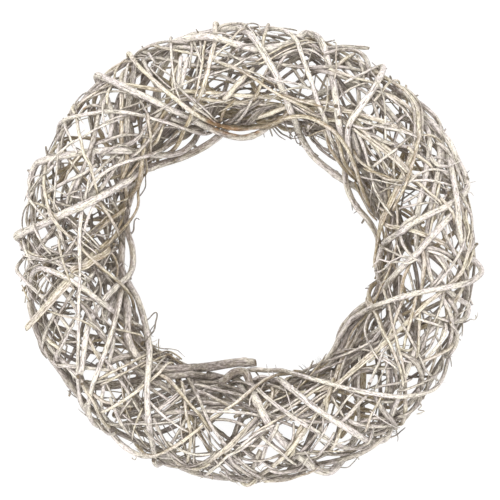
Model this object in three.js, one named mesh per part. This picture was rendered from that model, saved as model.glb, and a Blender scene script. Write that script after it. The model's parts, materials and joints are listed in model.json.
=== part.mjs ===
// A whitewashed rattan wreath, 400 mm across, lying flat with its axis along +Z.
// Long vines and split canes are wound over and under each other into an open ring, with a few stout core vines
// inside. Each vine is one solid. It starts on a planned route round the ring, and a short relaxation then lifts
// crossing vines off each other, so that they lie one on the other as in a wound wreath.
import * as THREE from "three";

// Driving sizes, in millimetres.
const ACROSS = 400; // over the outermost vines
const RING_RADIUS = 152; // from the ring's axis to the middle of the tube that the vines form
const TUBE_HALF_WIDTH = 44.6; // of that tube, to the outside of its vines
const TUBE_HALF_DEPTH = 46; // the same, along the ring's axis
const TUBE_HEIGHT = 42.6; // of the tube's middle over the table, so that its underside is pressed flat
const OUTER_LAYER = 3; // the number of the outermost layer of vines
const LAYER_STEP = 3.4; // from one layer to the next, inwards
const WEAVE = 1.6; // how far a vine swings in and out of its layer
const WEAVE_LENGTH = 120; // from one such swing to the next
const CLEARANCE = 0.4; // between the surfaces of crossing vines
const STATION_STEP = 15.5; // between the rings of points along a vine
const SPLIT_THICKNESS = 0.42; // of a split cane, as a share of its width
const TABLE_GRIP = 0.12; // how far the underside of a resting vine is pressed flat

// Relaxation.
const ROUNDS = 420;
const PAIRS_EVERY = 12;
const NEAR = 26; // segments with middles closer than this can touch
const SMOOTHING = 0.3;
const PULL_SIDEWAYS = 0.05;
const PULL_INWARDS = 0.02;

// The front of the wreath as a square picture of it shows it, looking straight down: points are [x, y] in pixels.
const PICTURE = { centreX: 249, centreY: 252.5, ringWidth: 468 };
const MM_PER_PIXEL = ACROSS / PICTURE.ringWidth;

const COLOURS = {
  white_vine: { color: 0xcfc6bb, roughness: 0.92 },
  grey_vine: { color: 0xa79c90, roughness: 0.94 },
  tan_cane: { color: 0xc9b896, roughness: 0.88 },
  core_vine: { color: 0x8b7f72, roughness: 0.95 },
};

// The vines that cross the front. width is across the vine, layer counts outwards from 0 at the core, seen is the
// route over the front, and tails are how far each end then goes on round the back, as shares of the back's width.
const FRONT_VINES = [
  { kind: "thick_vine", slot: "white_vine", width: 7, layer: 3, tails: [1.1, 0.9],
    seen: [[16, 236], [48, 222], [83, 206], [137, 177], [169, 161], [214, 136]] },
  { kind: "thick_vine", slot: "white_vine", width: 6, layer: 3, tails: [1.3, 0.8],
    seen: [[29, 182], [34, 168], [48, 161], [69, 155], [89, 151], [123, 151], [158, 156], [190, 150]] },
  { kind: "thin_vine", slot: "white_vine", width: 3.4, layer: 3, tails: [1.4, 1],
    seen: [[58, 125], [69, 119], [80, 116], [104, 112], [128, 113], [153, 119], [175, 124], [207, 131]] },
  { kind: "thick_vine", slot: "white_vine", width: 6, layer: 3, tails: [1.3, 0.8],
    seen: [[97, 77], [112, 83], [131, 92], [153, 102], [175, 115], [199, 128], [214, 133], [232, 136], [250, 136]] },
  { kind: "vine", slot: "tan_cane", width: 3.8, layer: 3, tails: [0.9, 1.1],
    seen: [[126, 49], [137, 64], [153, 80], [169, 94], [187, 108], [207, 122], [225, 130], [244, 132],
      [260, 129], [273, 124], [286, 116]] },
  { kind: "thick_vine", slot: "white_vine", width: 6.3, layer: 3, tails: [1.3, 0.8],
    seen: [[230, 20], [238, 24], [252, 41], [266, 62], [278, 82], [286, 101], [294, 120], [302, 135],
      [312, 150], [328, 163], [343, 174]] },
  { kind: "vine", slot: "white_vine", width: 3.9, layer: 3, tails: [1.3, 1.1],
    seen: [[283, 31], [290, 35], [295, 42], [303, 64], [311, 86], [319, 112], [327, 131], [335, 150]] },
  { kind: "thick_vine", slot: "white_vine", width: 6.3, layer: 3, tails: [1.3, 0.9],
    seen: [[296, 38], [303, 33], [310, 33], [320, 43], [328, 62], [333, 89], [335, 112], [336, 135],
      [338, 158], [347, 176]] },
  { kind: "thick_vine", slot: "white_vine", width: 5.7, layer: 3, tails: [1.2, 0.9],
    seen: [[381, 66], [377, 80], [368, 96], [358, 110], [349, 124], [346, 137], [348, 153], [347, 169],
      [350, 187], [357, 203], [368, 217]] },
  { kind: "split_cane", slot: "tan_cane", width: 7.4, layer: 3, tails: [0.8, 1],
    seen: [[386, 77], [400, 87], [412, 100], [418, 116], [418, 134], [411, 156], [401, 177], [390, 201],
      [381, 223], [374, 246], [370, 262]] },
  { kind: "thin_vine", slot: "white_vine", width: 3.6, layer: 2, tails: [0.7, 1.1],
    seen: [[400, 84], [414, 96], [424, 108], [434, 119], [440, 133], [441, 148], [439, 165], [434, 190]] },
  { kind: "thick_vine", slot: "white_vine", width: 5.6, layer: 3, tails: [1.1, 1],
    seen: [[459, 170], [465, 181], [463, 193], [455, 200], [444, 206], [431, 212], [417, 218], [403, 227],
      [390, 236], [377, 247], [371, 259], [369, 272], [372, 288]] },
  { kind: "thick_vine", slot: "white_vine", width: 5.8, layer: 3, tails: [1.2, 1],
    seen: [[468, 188], [463, 202], [452, 214], [438, 227], [425, 241], [411, 256], [399, 266], [390, 274],
      [377, 289], [366, 303], [352, 318], [343, 328]] },
  { kind: "split_cane", slot: "tan_cane", width: 4.8, layer: 2, tails: [1.1, 1.2],
    seen: [[388, 226], [406, 229], [423, 234], [444, 243], [459, 253], [469, 263], [471, 275], [464, 286]] },
  { kind: "thick_vine", slot: "white_vine", width: 5, layer: 3, tails: [0.8, 0.9],
    seen: [[470, 257], [481, 263], [483, 270], [470, 279], [451, 284], [428, 289], [406, 294], [384, 301],
      [366, 311], [352, 321], [343, 334]] },
  { kind: "split_cane", slot: "tan_cane", width: 4.8, layer: 3, tails: [0.9, 1.1],
    seen: [[463, 255], [459, 271], [449, 284], [433, 296], [417, 309], [401, 324], [385, 339], [362, 358],
      [336, 380]] },
  { kind: "vine", slot: "white_vine", width: 4, layer: 3, tails: [0.8, 1.2],
    seen: [[252, 371], [271, 376], [298, 378], [322, 382], [346, 387], [362, 390], [386, 394], [404, 394],
      [425, 390], [440, 383], [446, 371]] },
  { kind: "thick_vine", slot: "white_vine", width: 5.7, layer: 3, tails: [0.9, 1.1],
    seen: [[262, 373], [275, 378], [288, 386], [303, 397], [320, 411], [339, 423], [358, 435], [377, 443],
      [390, 440]] },
  { kind: "split_cane", slot: "white_vine", width: 4.8, layer: 3, tails: [0.9, 1.2],
    seen: [[246, 383], [259, 392], [274, 403], [298, 419], [322, 435], [339, 446], [358, 449]] },
  { kind: "thick_vine", slot: "white_vine", width: 7.2, layer: 3, tails: [0.9, 1.2],
    seen: [[241, 363], [245, 382], [254, 399], [263, 415], [275, 433], [290, 449], [306, 461], [318, 467],
      [332, 468]] },
  { kind: "split_cane", slot: "tan_cane", width: 5, layer: 3, tails: [1, 0.8],
    seen: [[254, 416], [241, 430], [226, 445], [210, 459], [192, 475]] },
  { kind: "thin_vine", slot: "tan_cane", width: 3, layer: 3, tails: [1, 1.3],
    seen: [[262, 384], [244, 396], [225, 408], [208, 419], [189, 435], [165, 450]] },
  { kind: "thin_vine", slot: "tan_cane", width: 3.6, layer: 2, tails: [1.1, 1.2],
    seen: [[322, 403], [310, 418], [298, 434], [286, 450], [274, 463], [261, 475], [247, 484]] },
  { kind: "thin_vine", slot: "grey_vine", width: 3.2, layer: 3, tails: [1.1, 1],
    seen: [[179, 358], [190, 376], [200, 397], [208, 416], [220, 436], [231, 452]] },
  { kind: "thick_vine", slot: "white_vine", width: 5.6, layer: 3, tails: [1.1, 1.2],
    seen: [[124, 286], [133, 298], [140, 312], [146, 333], [148, 358], [147, 384], [148, 406], [150, 428],
      [155, 459]] },
  { kind: "thick_vine", slot: "white_vine", width: 5.7, layer: 3, tails: [1.1, 0],
    seen: [[126, 234], [129, 252], [126, 268], [118, 284], [104, 303], [93, 320], [87, 339], [84, 358],
      [81, 374]] },
  { kind: "split_cane", slot: "tan_cane", width: 7, layer: 2, tails: [1, 0],
    seen: [[136, 190], [138, 204], [134, 218], [123, 232], [108, 244], [96, 253], [82, 266], [69, 279],
      [57, 290], [43, 305], [28, 324]] },
  { kind: "vine", slot: "white_vine", width: 4.3, layer: 3, tails: [1, 1.1],
    seen: [[124, 282], [121, 297], [117, 312], [112, 332], [107, 349], [99, 368], [91, 390]] },
  { kind: "thin_vine", slot: "white_vine", width: 3.2, layer: 2, tails: [0.9, 1.3],
    seen: [[126, 280], [123, 300], [120, 320], [117, 338], [111, 362], [103, 394]] },
  { kind: "thin_vine", slot: "white_vine", width: 3, layer: 3, tails: [1.1, 1.2],
    seen: [[86, 196], [82, 218], [80, 241], [81, 273], [80, 300], [79, 335], [78, 368]] },
  { kind: "thin_vine", slot: "tan_cane", width: 2.8, layer: 3, tails: [1.2, 1],
    seen: [[43, 168], [46, 192], [58, 222], [74, 237], [92, 257], [110, 275]] },
  { kind: "vine", slot: "white_vine", width: 4.6, layer: 3, tails: [1, 0.9],
    seen: [[26, 288], [28, 275], [35, 268], [51, 270], [67, 277], [84, 287], [101, 300]] },
  { kind: "thin_vine", slot: "white_vine", width: 3, layer: 2, tails: [1.2, 1],
    seen: [[18, 266], [29, 281], [42, 295], [58, 313], [76, 336], [98, 352]] },
  { kind: "vine", slot: "tan_cane", width: 4, layer: 3, tails: [1.2, 1.1],
    seen: [[215, 23], [214, 43], [210, 63], [205, 85], [197, 106], [190, 122]] },
  { kind: "vine", slot: "tan_cane", width: 3.7, layer: 2, tails: [0.9, 1],
    seen: [[168, 92], [186, 93], [203, 94], [227, 96], [257, 99], [280, 102], [302, 107]] },
  { kind: "vine", slot: "tan_cane", width: 3.7, layer: 2, tails: [1.1, 1.1],
    seen: [[184, 101], [205, 101], [230, 103], [263, 106], [284, 109], [309, 115], [334, 121], [352, 125]] },
  { kind: "thin_vine", slot: "tan_cane", width: 3, layer: 3, tails: [1.2, 1.1],
    seen: [[152, 46], [170, 48], [187, 51], [201, 55], [216, 61], [236, 69], [252, 78], [267, 88], [280, 96],
      [300, 107]] },
  { kind: "thin_vine", slot: "grey_vine", width: 3.2, layer: 2, tails: [1.1, 1.1],
    seen: [[150, 55], [174, 61], [190, 65], [208, 67], [225, 67], [241, 65], [257, 63], [275, 64], [296, 68]] },
  { kind: "thin_vine", slot: "tan_cane", width: 3.4, layer: 2, tails: [1.1, 1],
    seen: [[119, 73], [121, 93], [123, 108], [123, 125], [125, 146], [127, 172], [129, 196]] },
  { kind: "split_cane", slot: "grey_vine", width: 6.6, layer: 1, tails: [0.9, 1.1],
    seen: [[133, 62], [132, 81], [130, 98], [128, 116], [128, 136], [130, 156]] },
  { kind: "split_cane", slot: "tan_cane", width: 5.2, layer: 2, tails: [1.1, 1],
    seen: [[346, 111], [362, 116], [379, 121], [396, 127], [414, 134], [431, 140], [445, 148], [454, 160]] },
  { kind: "vine", slot: "grey_vine", width: 4.4, layer: 1, tails: [1.1, 1.1],
    seen: [[358, 76], [372, 90], [387, 107], [400, 122], [411, 137], [421, 156], [428, 176]] },
  { kind: "vine", slot: "tan_cane", width: 4, layer: 2, tails: [1.1, 1.2],
    seen: [[344, 116], [355, 128], [367, 138], [382, 148], [395, 158], [405, 170], [420, 184]] },
  { kind: "thin_vine", slot: "grey_vine", width: 3.4, layer: 2, tails: [1.3, 0],
    seen: [[270, 58], [290, 53], [310, 49], [330, 47], [350, 46], [370, 46]] },
  { kind: "vine", slot: "white_vine", width: 4.6, layer: 2, tails: [0.9, 1.1],
    seen: [[427, 276], [446, 289], [460, 299], [471, 308], [472, 315], [459, 322], [442, 324]] },
  { kind: "vine", slot: "tan_cane", width: 4, layer: 2, tails: [1.1, 1.2],
    seen: [[373, 303], [377, 320], [386, 341], [396, 360], [402, 378], [404, 396], [402, 424]] },
  { kind: "vine", slot: "grey_vine", width: 4.2, layer: 2, tails: [1.1, 1.2],
    seen: [[430, 280], [439, 296], [447, 314], [449, 331], [447, 348], [441, 364], [430, 382]] },
  { kind: "vine", slot: "grey_vine", width: 4.8, layer: 2, tails: [0.9, 1.1],
    seen: [[364, 317], [350, 328], [341, 341], [334, 352], [326, 361], [312, 369], [294, 374]] },
  { kind: "vine", slot: "grey_vine", width: 4.6, layer: 1, tails: [1.1, 1.2],
    seen: [[369, 312], [360, 327], [352, 342], [344, 358], [338, 375], [329, 396]] },
  { kind: "vine", slot: "white_vine", width: 5, layer: 2, tails: [0.9, 1.1],
    seen: [[67, 368], [78, 381], [87, 394], [95, 407], [103, 421], [111, 431], [120, 440], [129, 449],
      [142, 455], [156, 460]] },
  { kind: "thick_vine", slot: "core_vine", width: 7.6, layer: 3, tails: [0, 1],
    seen: [[256, 364], [241, 364], [222, 367], [206, 370], [187, 371], [168, 369], [148, 363]] },
  { kind: "vine", slot: "grey_vine", width: 4.2, layer: 2, tails: [1, 0.8],
    seen: [[102, 84], [99, 104], [97, 124], [93, 146], [84, 170], [74, 192], [62, 214]] },
];

// The stout vines inside, which run along the ring. from and to are degrees round the ring, and turn is the place
// round the tube at each end, from 0 at its outer side through 90 at the front to 180 at its inner side.
const CORE_VINES = [
  { slot: "core_vine", width: 6.6, depth: 9, from: 262, to: 196, turn: [138, 100] },
  { slot: "core_vine", width: 6.6, depth: 12, from: 128, to: 64, turn: [170, 205] },
  { slot: "core_vine", width: 6, depth: 12, from: 66, to: 2, turn: [195, 150] },
  { slot: "core_vine", width: 6.4, depth: 11, from: 352, to: 284, turn: [205, 250] },
  { slot: "grey_vine", width: 5.2, depth: 1, from: 98, to: 150, turn: [-22, 16] },
  { slot: "grey_vine", width: 5.2, depth: 1, from: 192, to: 250, turn: [20, -16] },
  { slot: "grey_vine", width: 5, depth: 0, from: 246, to: 306, turn: [-14, 14] },
];

const SECTION_SIDES = { thick_vine: 6, vine: 5, thin_vine: 4, split_cane: 4, core_vine: 6 };
const TAPER = 0.2; // of a vine's width, from its first end to its last
const CAP_RISE = 0.12; // of the cut ends, as a share of the width
const BACK_ROUTE = 165; // the length of a tail that runs the whole width of the back
const TAIL_HEADING = [48, 68]; // degrees from the ring's run that the tails turn to
const TAIL_TURN_LENGTH = 60; // over which they turn
const TUCK_FROM = 0.8; // how far round the back, as a share of its width, a tail starts to sink under the others
const TUCK_SLOPE = 36; // how far it would sink over the whole width of the back
const TUCK = 9; // how far it sinks at most

// Repeatable random numbers from 0 to 1.
function seededRandom(seed) {
  let state = seed;
  return () => {
    state = (state + 0x6d2b79f5) | 0;
    let mixed = Math.imul(state ^ (state >>> 15), 1 | state);
    mixed = (mixed + Math.imul(mixed ^ (mixed >>> 7), 61 | mixed)) ^ mixed;
    return ((mixed ^ (mixed >>> 14)) >>> 0) / 4294967296;
  };
}
const random = seededRandom(20);
const between = (low, high) => low + (high - low) * random();

// A point on the tube's surface, at an angle round the ring and a turn round the tube, both in radians, sunk by
// depth below the outside.
function onTube(angle, turn, depth) {
  const reach = RING_RADIUS + (TUBE_HALF_WIDTH - depth) * Math.cos(turn);
  const height = TUBE_HEIGHT + (TUBE_HALF_DEPTH - depth) * Math.sin(turn);
  return new THREE.Vector3(reach * Math.cos(angle), reach * Math.sin(angle), height);
}

// The way out of the tube at a point.
function outwards(point) {
  const reach = Math.hypot(point.x, point.y);
  const across = reach - RING_RADIUS;
  return new THREE.Vector3((across * point.x) / reach, (across * point.y) / reach, point.z - TUBE_HEIGHT)
    .normalize();
}

// A point of the picture as an angle, a turn on the front half of the tube and the distance past the tube's edge.
function fromPicture([x, y], depth) {
  const east = (x - PICTURE.centreX) * MM_PER_PIXEL;
  const north = (PICTURE.centreY - y) * MM_PER_PIXEL;
  const across = Math.hypot(east, north) - RING_RADIUS;
  const halfWidth = TUBE_HALF_WIDTH - depth;
  const held = THREE.MathUtils.clamp(across, -halfWidth, halfWidth);
  return { angle: Math.atan2(north, east), turn: Math.acos(held / halfWidth), past: across - held };
}

// The points of a tail, which goes on from the end of a route as last and previous head, and winds round the back.
function tailPoints(last, previous, share, depth) {
  const spin = Math.atan2(Math.sin(last.angle - previous.angle), Math.cos(last.angle - previous.angle));
  const along = spin * RING_RADIUS;
  const around = (last.turn - previous.turn) * TUBE_HALF_WIDTH;
  const way = last.turn < Math.PI / 2 ? -1 : 1;
  const side = along < 0 ? -1 : 1;
  const target = THREE.MathUtils.degToRad(between(...TAIL_HEADING));
  let heading = Math.atan2(around * way, Math.abs(along));
  let { angle, turn } = last;
  const points = [];
  const steps = Math.round((share * BACK_ROUTE) / STATION_STEP);
  for (let i = 1; i <= steps; i++) {
    heading += (target - heading) * Math.min(1, STATION_STEP / TAIL_TURN_LENGTH);
    const reach = RING_RADIUS + (TUBE_HALF_WIDTH - depth) * Math.cos(turn);
    angle += (side * Math.cos(heading) * STATION_STEP) / reach;
    turn += (way * Math.sin(heading) * STATION_STEP) / (TUBE_HALF_WIDTH - depth);
    const past = Math.max(0, (i * STATION_STEP) / BACK_ROUTE - TUCK_FROM);
    points.push(onTube(angle, turn, depth + Math.min(TUCK, past * TUCK_SLOPE)));
  }
  return points;
}

// The planned route of a front vine, as points from one end to the other.
function frontRoute({ seen, tails, layer, width }) {
  const depth = width / 2 + (OUTER_LAYER - layer) * LAYER_STEP;
  const traced = seen.map((pixel) => fromPicture(pixel, depth));
  const shown = traced.map(({ angle, turn, past }) => {
    const point = onTube(angle, turn, depth);
    const outside = new THREE.Vector3(Math.cos(angle), Math.sin(angle), 0);
    return point.addScaledVector(outside, past);
  });
  const [first, second] = traced;
  const [beforeLast, last] = traced.slice(-2);
  return [
    ...tailPoints(first, second, tails[0], depth).reverse(),
    ...shown,
    ...tailPoints(last, beforeLast, tails[1], depth),
  ];
}

// The planned route of a core vine.
function coreRoute({ width, depth, from, to, turn }) {
  const points = [];
  const steps = 8;
  for (let i = 0; i <= steps; i++) {
    const share = i / steps;
    const angle = THREE.MathUtils.degToRad(THREE.MathUtils.lerp(from, to, share));
    const place = THREE.MathUtils.degToRad(THREE.MathUtils.lerp(turn[0], turn[1], share));
    points.push(onTube(angle, place, width / 2 + depth));
  }
  return points;
}

// A vine with even stations along its route, swinging a little in and out of its layer.
function makeVine(kind, slot, width, route) {
  const curve = new THREE.CatmullRomCurve3(route, false, "centripetal");
  const length = curve.getLength();
  const count = Math.round(length / STATION_STEP);
  const phase = between(0, 2 * Math.PI);
  const plan = curve.getSpacedPoints(count).map((point, i) => {
    const swing = WEAVE * Math.sin(phase + (2 * Math.PI * i * length) / count / WEAVE_LENGTH);
    return point.addScaledVector(outwards(point), swing - WEAVE);
  });
  const sides = SECTION_SIDES[kind];
  const thickness = kind === "split_cane" ? width * SPLIT_THICKNESS : width;
  const corners = [];
  for (let i = 0; i < sides; i++) {
    const turn = ((i + 0.5) / sides) * 2 * Math.PI;
    const flat = sides === 4 ? 1.19 : 1.05; // makes up for the flat sides
    corners.push({ out: (Math.cos(turn) * thickness * flat) / 2, side: (Math.sin(turn) * width * flat) / 2 });
  }
  const scales = plan.map((_, i) => 1 + TAPER * (0.5 - i / count));
  const restHeight = Math.max(...corners.map((corner) => corner.out)) - TABLE_GRIP;
  return { kind, slot, width, plan, points: plan.map((point) => point.clone()), corners, scales, restHeight };
}

// The section's own axes at a station: run along the vine, out away from the tube and side across both. Where the
// vine rests on the table, its underside faces straight down.
function stationAxes(vine, i) {
  const { points } = vine;
  const before = points[Math.max(0, i - 1)];
  const after = points[Math.min(points.length - 1, i + 1)];
  const run = after.clone().sub(before).normalize();
  const resting = points[i].z < vine.restHeight * vine.scales[i] + TABLE_GRIP * 2;
  const out = resting ? new THREE.Vector3(0, 0, -1) : outwards(points[i]);
  out.addScaledVector(run, -out.dot(run)).normalize();
  return { run, out, side: run.clone().cross(out) };
}

// How far the section at a station reaches in a direction.
function reachOf(vine, i, axes, direction) {
  const out = axes.out.dot(direction);
  const side = axes.side.dot(direction);
  let most = 0;
  for (const corner of vine.corners) most = Math.max(most, corner.out * out + corner.side * side);
  return most * vine.scales[i];
}

// The shares along two segments at which they come closest.
const [alongA, alongB, apart] = [new THREE.Vector3(), new THREE.Vector3(), new THREE.Vector3()];
function closestShares(a0, a1, b0, b1) {
  alongA.subVectors(a1, a0);
  alongB.subVectors(b1, b0);
  apart.subVectors(a0, b0);
  const [aa, bb, ab] = [alongA.dot(alongA), alongB.dot(alongB), alongA.dot(alongB)];
  const [af, bf] = [alongA.dot(apart), alongB.dot(apart)];
  const clamp = (value) => Math.min(1, Math.max(0, value));
  const parallel = aa * bb - ab * ab;
  let shareA = parallel > 1e-9 ? clamp((ab * bf - af * bb) / parallel) : 0.5;
  const shareB = clamp((ab * shareA + bf) / bb);
  shareA = clamp((ab * shareB - af) / aa);
  return [shareA, shareB];
}

// Pairs of segments that may touch.
function nearPairs(vines) {
  const segments = vines.flatMap((vine) =>
    vine.points.slice(1).map((point, i) => ({ vine, i, middle: point.clone().add(vine.points[i]).divideScalar(2) })),
  );
  const pairs = [];
  segments.forEach((one, index) => {
    for (const other of segments.slice(index + 1)) {
      if (one.vine === other.vine && other.i - one.i < 3) continue;
      if (one.middle.distanceToSquared(other.middle) < NEAR * NEAR) pairs.push([one, other]);
    }
  });
  return pairs;
}

// Moves two segments apart where their surfaces come closer than the clearance.
function separate(one, other) {
  const [a0, a1] = [one.vine.points[one.i], one.vine.points[one.i + 1]];
  const [b0, b1] = [other.vine.points[other.i], other.vine.points[other.i + 1]];
  const [shareA, shareB] = closestShares(a0, a1, b0, b1);
  const onA = a0.clone().lerp(a1, shareA);
  const direction = b0.clone().lerp(b1, shareB).sub(onA);
  const distance = direction.length();
  if (distance > (one.vine.width + other.vine.width) * 0.65 + CLEARANCE) return;
  if (distance < 0.05) direction.copy(outwards(onA));
  direction.normalize();
  const [stationA, stationB] = [one.i + Math.round(shareA), other.i + Math.round(shareB)];
  const reach =
    reachOf(one.vine, stationA, one.vine.axes[stationA], direction) +
    reachOf(other.vine, stationB, other.vine.axes[stationB], direction.clone().negate());
  const short = reach + CLEARANCE - distance;
  if (short <= 0) return;
  const weightA = (1 - shareA) ** 2 + shareA ** 2;
  const weightB = (1 - shareB) ** 2 + shareB ** 2;
  const push = short / (weightA + weightB);
  a0.addScaledVector(direction, -push * (1 - shareA));
  a1.addScaledVector(direction, -push * shareA);
  b0.addScaledVector(direction, push * (1 - shareB));
  b1.addScaledVector(direction, push * shareB);
}

// Pulls a vine back towards its plan, more along the tube's surface than across it, and smooths what remains.
function settle(vine) {
  const offsets = vine.points.map((point, i) => point.clone().sub(vine.plan[i]));
  vine.points.forEach((point, i) => {
    const offset = offsets[i].clone();
    const before = offsets[Math.max(0, i - 1)];
    const after = offsets[Math.min(offsets.length - 1, i + 1)];
    const mean = before.clone().add(after).divideScalar(2);
    offset.lerp(mean, SMOOTHING);
    const out = outwards(vine.plan[i]);
    const lift = offset.dot(out);
    offset.addScaledVector(out, -lift);
    offset.multiplyScalar(1 - PULL_SIDEWAYS);
    offset.addScaledVector(out, lift * (1 - PULL_INWARDS));
    point.copy(vine.plan[i]).add(offset);
  });
}

function keepAboveTable(vine) {
  vine.points.forEach((point, i) => {
    point.z = Math.max(point.z, vine.restHeight * vine.scales[i]);
  });
}

function relax(vines) {
  let pairs = [];
  for (let round = 0; round < ROUNDS; round++) {
    if (round % PAIRS_EVERY === 0) pairs = nearPairs(vines);
    for (const vine of vines) {
      if (round < ROUNDS * 0.85) settle(vine);
      keepAboveTable(vine);
      vine.axes = vine.points.map((_, i) => stationAxes(vine, i));
    }
    for (const [one, other] of pairs) separate(one, other);
  }
  vines.forEach(keepAboveTable);
}

// The closed skin of a vine: a ring of corners at each station, and a low point on each cut end.
function vineGeometry(vine) {
  const sides = vine.corners.length;
  const last = vine.points.length - 1;
  const vertices = [];
  const addVertex = (point) => vertices.push(point.x, point.y, Math.max(0, point.z));
  const rise = vine.width * CAP_RISE;
  addVertex(vine.points[0].clone().addScaledVector(stationAxes(vine, 0).run, -rise));
  vine.points.forEach((point, i) => {
    const { out, side } = stationAxes(vine, i);
    for (const corner of vine.corners)
      addVertex(
        point
          .clone()
          .addScaledVector(out, corner.out * vine.scales[i])
          .addScaledVector(side, corner.side * vine.scales[i]),
      );
  });
  addVertex(vine.points[last].clone().addScaledVector(stationAxes(vine, last).run, rise));
  const faces = [];
  const corner = (i, j) => 1 + i * sides + (j % sides);
  for (let j = 0; j < sides; j++) {
    faces.push(0, corner(0, j + 1), corner(0, j));
    faces.push(corner(last, 0) + sides, corner(last, j), corner(last, j + 1));
    for (let i = 0; i < last; i++) {
      faces.push(corner(i, j), corner(i, j + 1), corner(i + 1, j + 1));
      faces.push(corner(i, j), corner(i + 1, j + 1), corner(i + 1, j));
    }
  }
  const geometry = new THREE.BufferGeometry();
  geometry.setAttribute("position", new THREE.Float32BufferAttribute(vertices, 3));
  geometry.setIndex(faces);
  geometry.computeVertexNormals();
  return geometry;
}

// All the vines, laid and relaxed.
const vines = [
  ...CORE_VINES.map((row) => makeVine("core_vine", row.slot, row.width, coreRoute(row))),
  ...FRONT_VINES.map((row) => makeVine(row.kind, row.slot, row.width, frontRoute(row))),
];
relax(vines);

const materials = Object.fromEntries(
  Object.entries(COLOURS).map(([slot, look]) => [
    slot,
    new THREE.MeshStandardMaterial({ name: slot, metalness: 0, ...look }),
  ]),
);

const wreath = new THREE.Group();
const counts = {};
for (const vine of vines) {
  counts[vine.kind] = (counts[vine.kind] ?? 0) + 1;
  const mesh = new THREE.Mesh(vineGeometry(vine), materials[vine.slot]);
  mesh.name = `${vine.kind}_${String(counts[vine.kind]).padStart(2, "0")}`;
  wreath.add(mesh);
}

// The origin is the middle of the wreath's box, on the table.
const box = new THREE.Box3().setFromObject(wreath);
wreath.children.forEach((mesh) => {
  mesh.position.set(-(box.min.x + box.max.x) / 2, -(box.min.y + box.max.y) / 2, -box.min.z);
});

export default wreath;
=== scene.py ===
# The looks of a whitewashed rattan wreath, lying on a pale floor and seen from straight above.
# Every vine of the frame gets a finer skin along the same line, with bark, joints and cut ends. Strands,
# twigs, tendrils and frayed fibres are then laid between them. Lengths are in millimetres until a mesh is
# made.
import json
import math

import bpy
import numpy as np
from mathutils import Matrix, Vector, kdtree


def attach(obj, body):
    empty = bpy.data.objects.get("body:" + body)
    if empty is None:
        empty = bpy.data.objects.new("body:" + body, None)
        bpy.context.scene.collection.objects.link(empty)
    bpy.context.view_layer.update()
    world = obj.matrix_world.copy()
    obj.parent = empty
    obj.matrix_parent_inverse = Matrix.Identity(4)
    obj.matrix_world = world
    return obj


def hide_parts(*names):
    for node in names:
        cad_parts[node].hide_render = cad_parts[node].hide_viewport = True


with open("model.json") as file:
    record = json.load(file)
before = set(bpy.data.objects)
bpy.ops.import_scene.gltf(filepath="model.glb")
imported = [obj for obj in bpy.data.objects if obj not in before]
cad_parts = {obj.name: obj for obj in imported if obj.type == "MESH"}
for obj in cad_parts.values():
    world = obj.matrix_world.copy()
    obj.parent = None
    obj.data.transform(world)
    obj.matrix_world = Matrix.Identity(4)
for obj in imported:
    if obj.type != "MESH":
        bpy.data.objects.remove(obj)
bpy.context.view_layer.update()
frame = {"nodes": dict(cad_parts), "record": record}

MM = 0.001
TAU = 2 * math.pi
RNG = np.random.default_rng(7)

# The tube that the vines form, as in the frame.
CENTRE = np.array([0.605, 0.865, 42.6])
RING_RADIUS = 152.0
HALF_WIDTH = 44.6
HALF_DEPTH = 46.0

# The photograph, 500 pixels square: where the ring's middle lies in it, and its scale.
PICTURE_SIDE = 500
PICTURE_MIDDLE = 249.5
PICTURE_CENTRE = (249.0, 252.5)
MM_PER_PIXEL = 400 / 468
CAMERA_HEIGHT = 4000.0

# Skins: how far apart their rings lie, and the share of a packed vine's size that lumps stand out from.
SKIN_STEP = 2.3
THIN_SKIN_STEP = 3.0
THIN_RADIUS = 1.0
SHOOT_STEP = 1.6
ROUND_SHARE = 0.93
SPLIT_SHARE = 0.90
VINE_ROUGHNESS = 0.7
STRAND_ROUGHNESS = 0.65
STRAND_TAPER = (1.1, 0.85)

# How many sides a round skin has, from each radius up.
SIDES_FROM = ((2.6, 14), (1.4, 10), (0.8, 8), (0.0, 6))

# How finely points are told apart, and how far from each other two skins may lie in the bark's pattern.
PACKED_CELLS_PER_MM = 1000
SKIN_CELLS_PER_MM = 2000
GRAIN_SPREAD = 900

# A round vine's form. Heights are shares of its radius. Reaches, places and spacings lie along it.
LUMP_WAVES = 9
LUMP_HEIGHT = 0.05
LUMP_SPACING = (4.5, 18)
LUMP_TWIST = 2.4
TWIST_SPACING = (16, 50)
GIRTH_DRIFT = 0.06
GIRTH_SPACING = 34
JOINT_SPACING = (30.0, 85.0)
JOINT_FROM_END = 8
JOINT_HEIGHT = (0.06, 0.17)
JOINT_REACH = 2.4
CREASE_DEPTH = 0.06
CREASE_PLACE = 3.2
CREASE_REACH = 1.2
SCAR_HEIGHT = 0.3
SCAR_PLACE = -0.8
SCAR_REACH = 2.0

# How far a round vine swings off its line: at its joints and between them, and out of the tube or aside.
SWING_EASE = 12
JOINT_SWING = 0.6
FREE_SWING = 0.25
FREE_SWING_SPACING = 18
OUT_SWING = 0.5
LEAST_SWING = 0.25
SWING_PER_RADIUS = 0.1
MOST_SWING = 0.6

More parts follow.
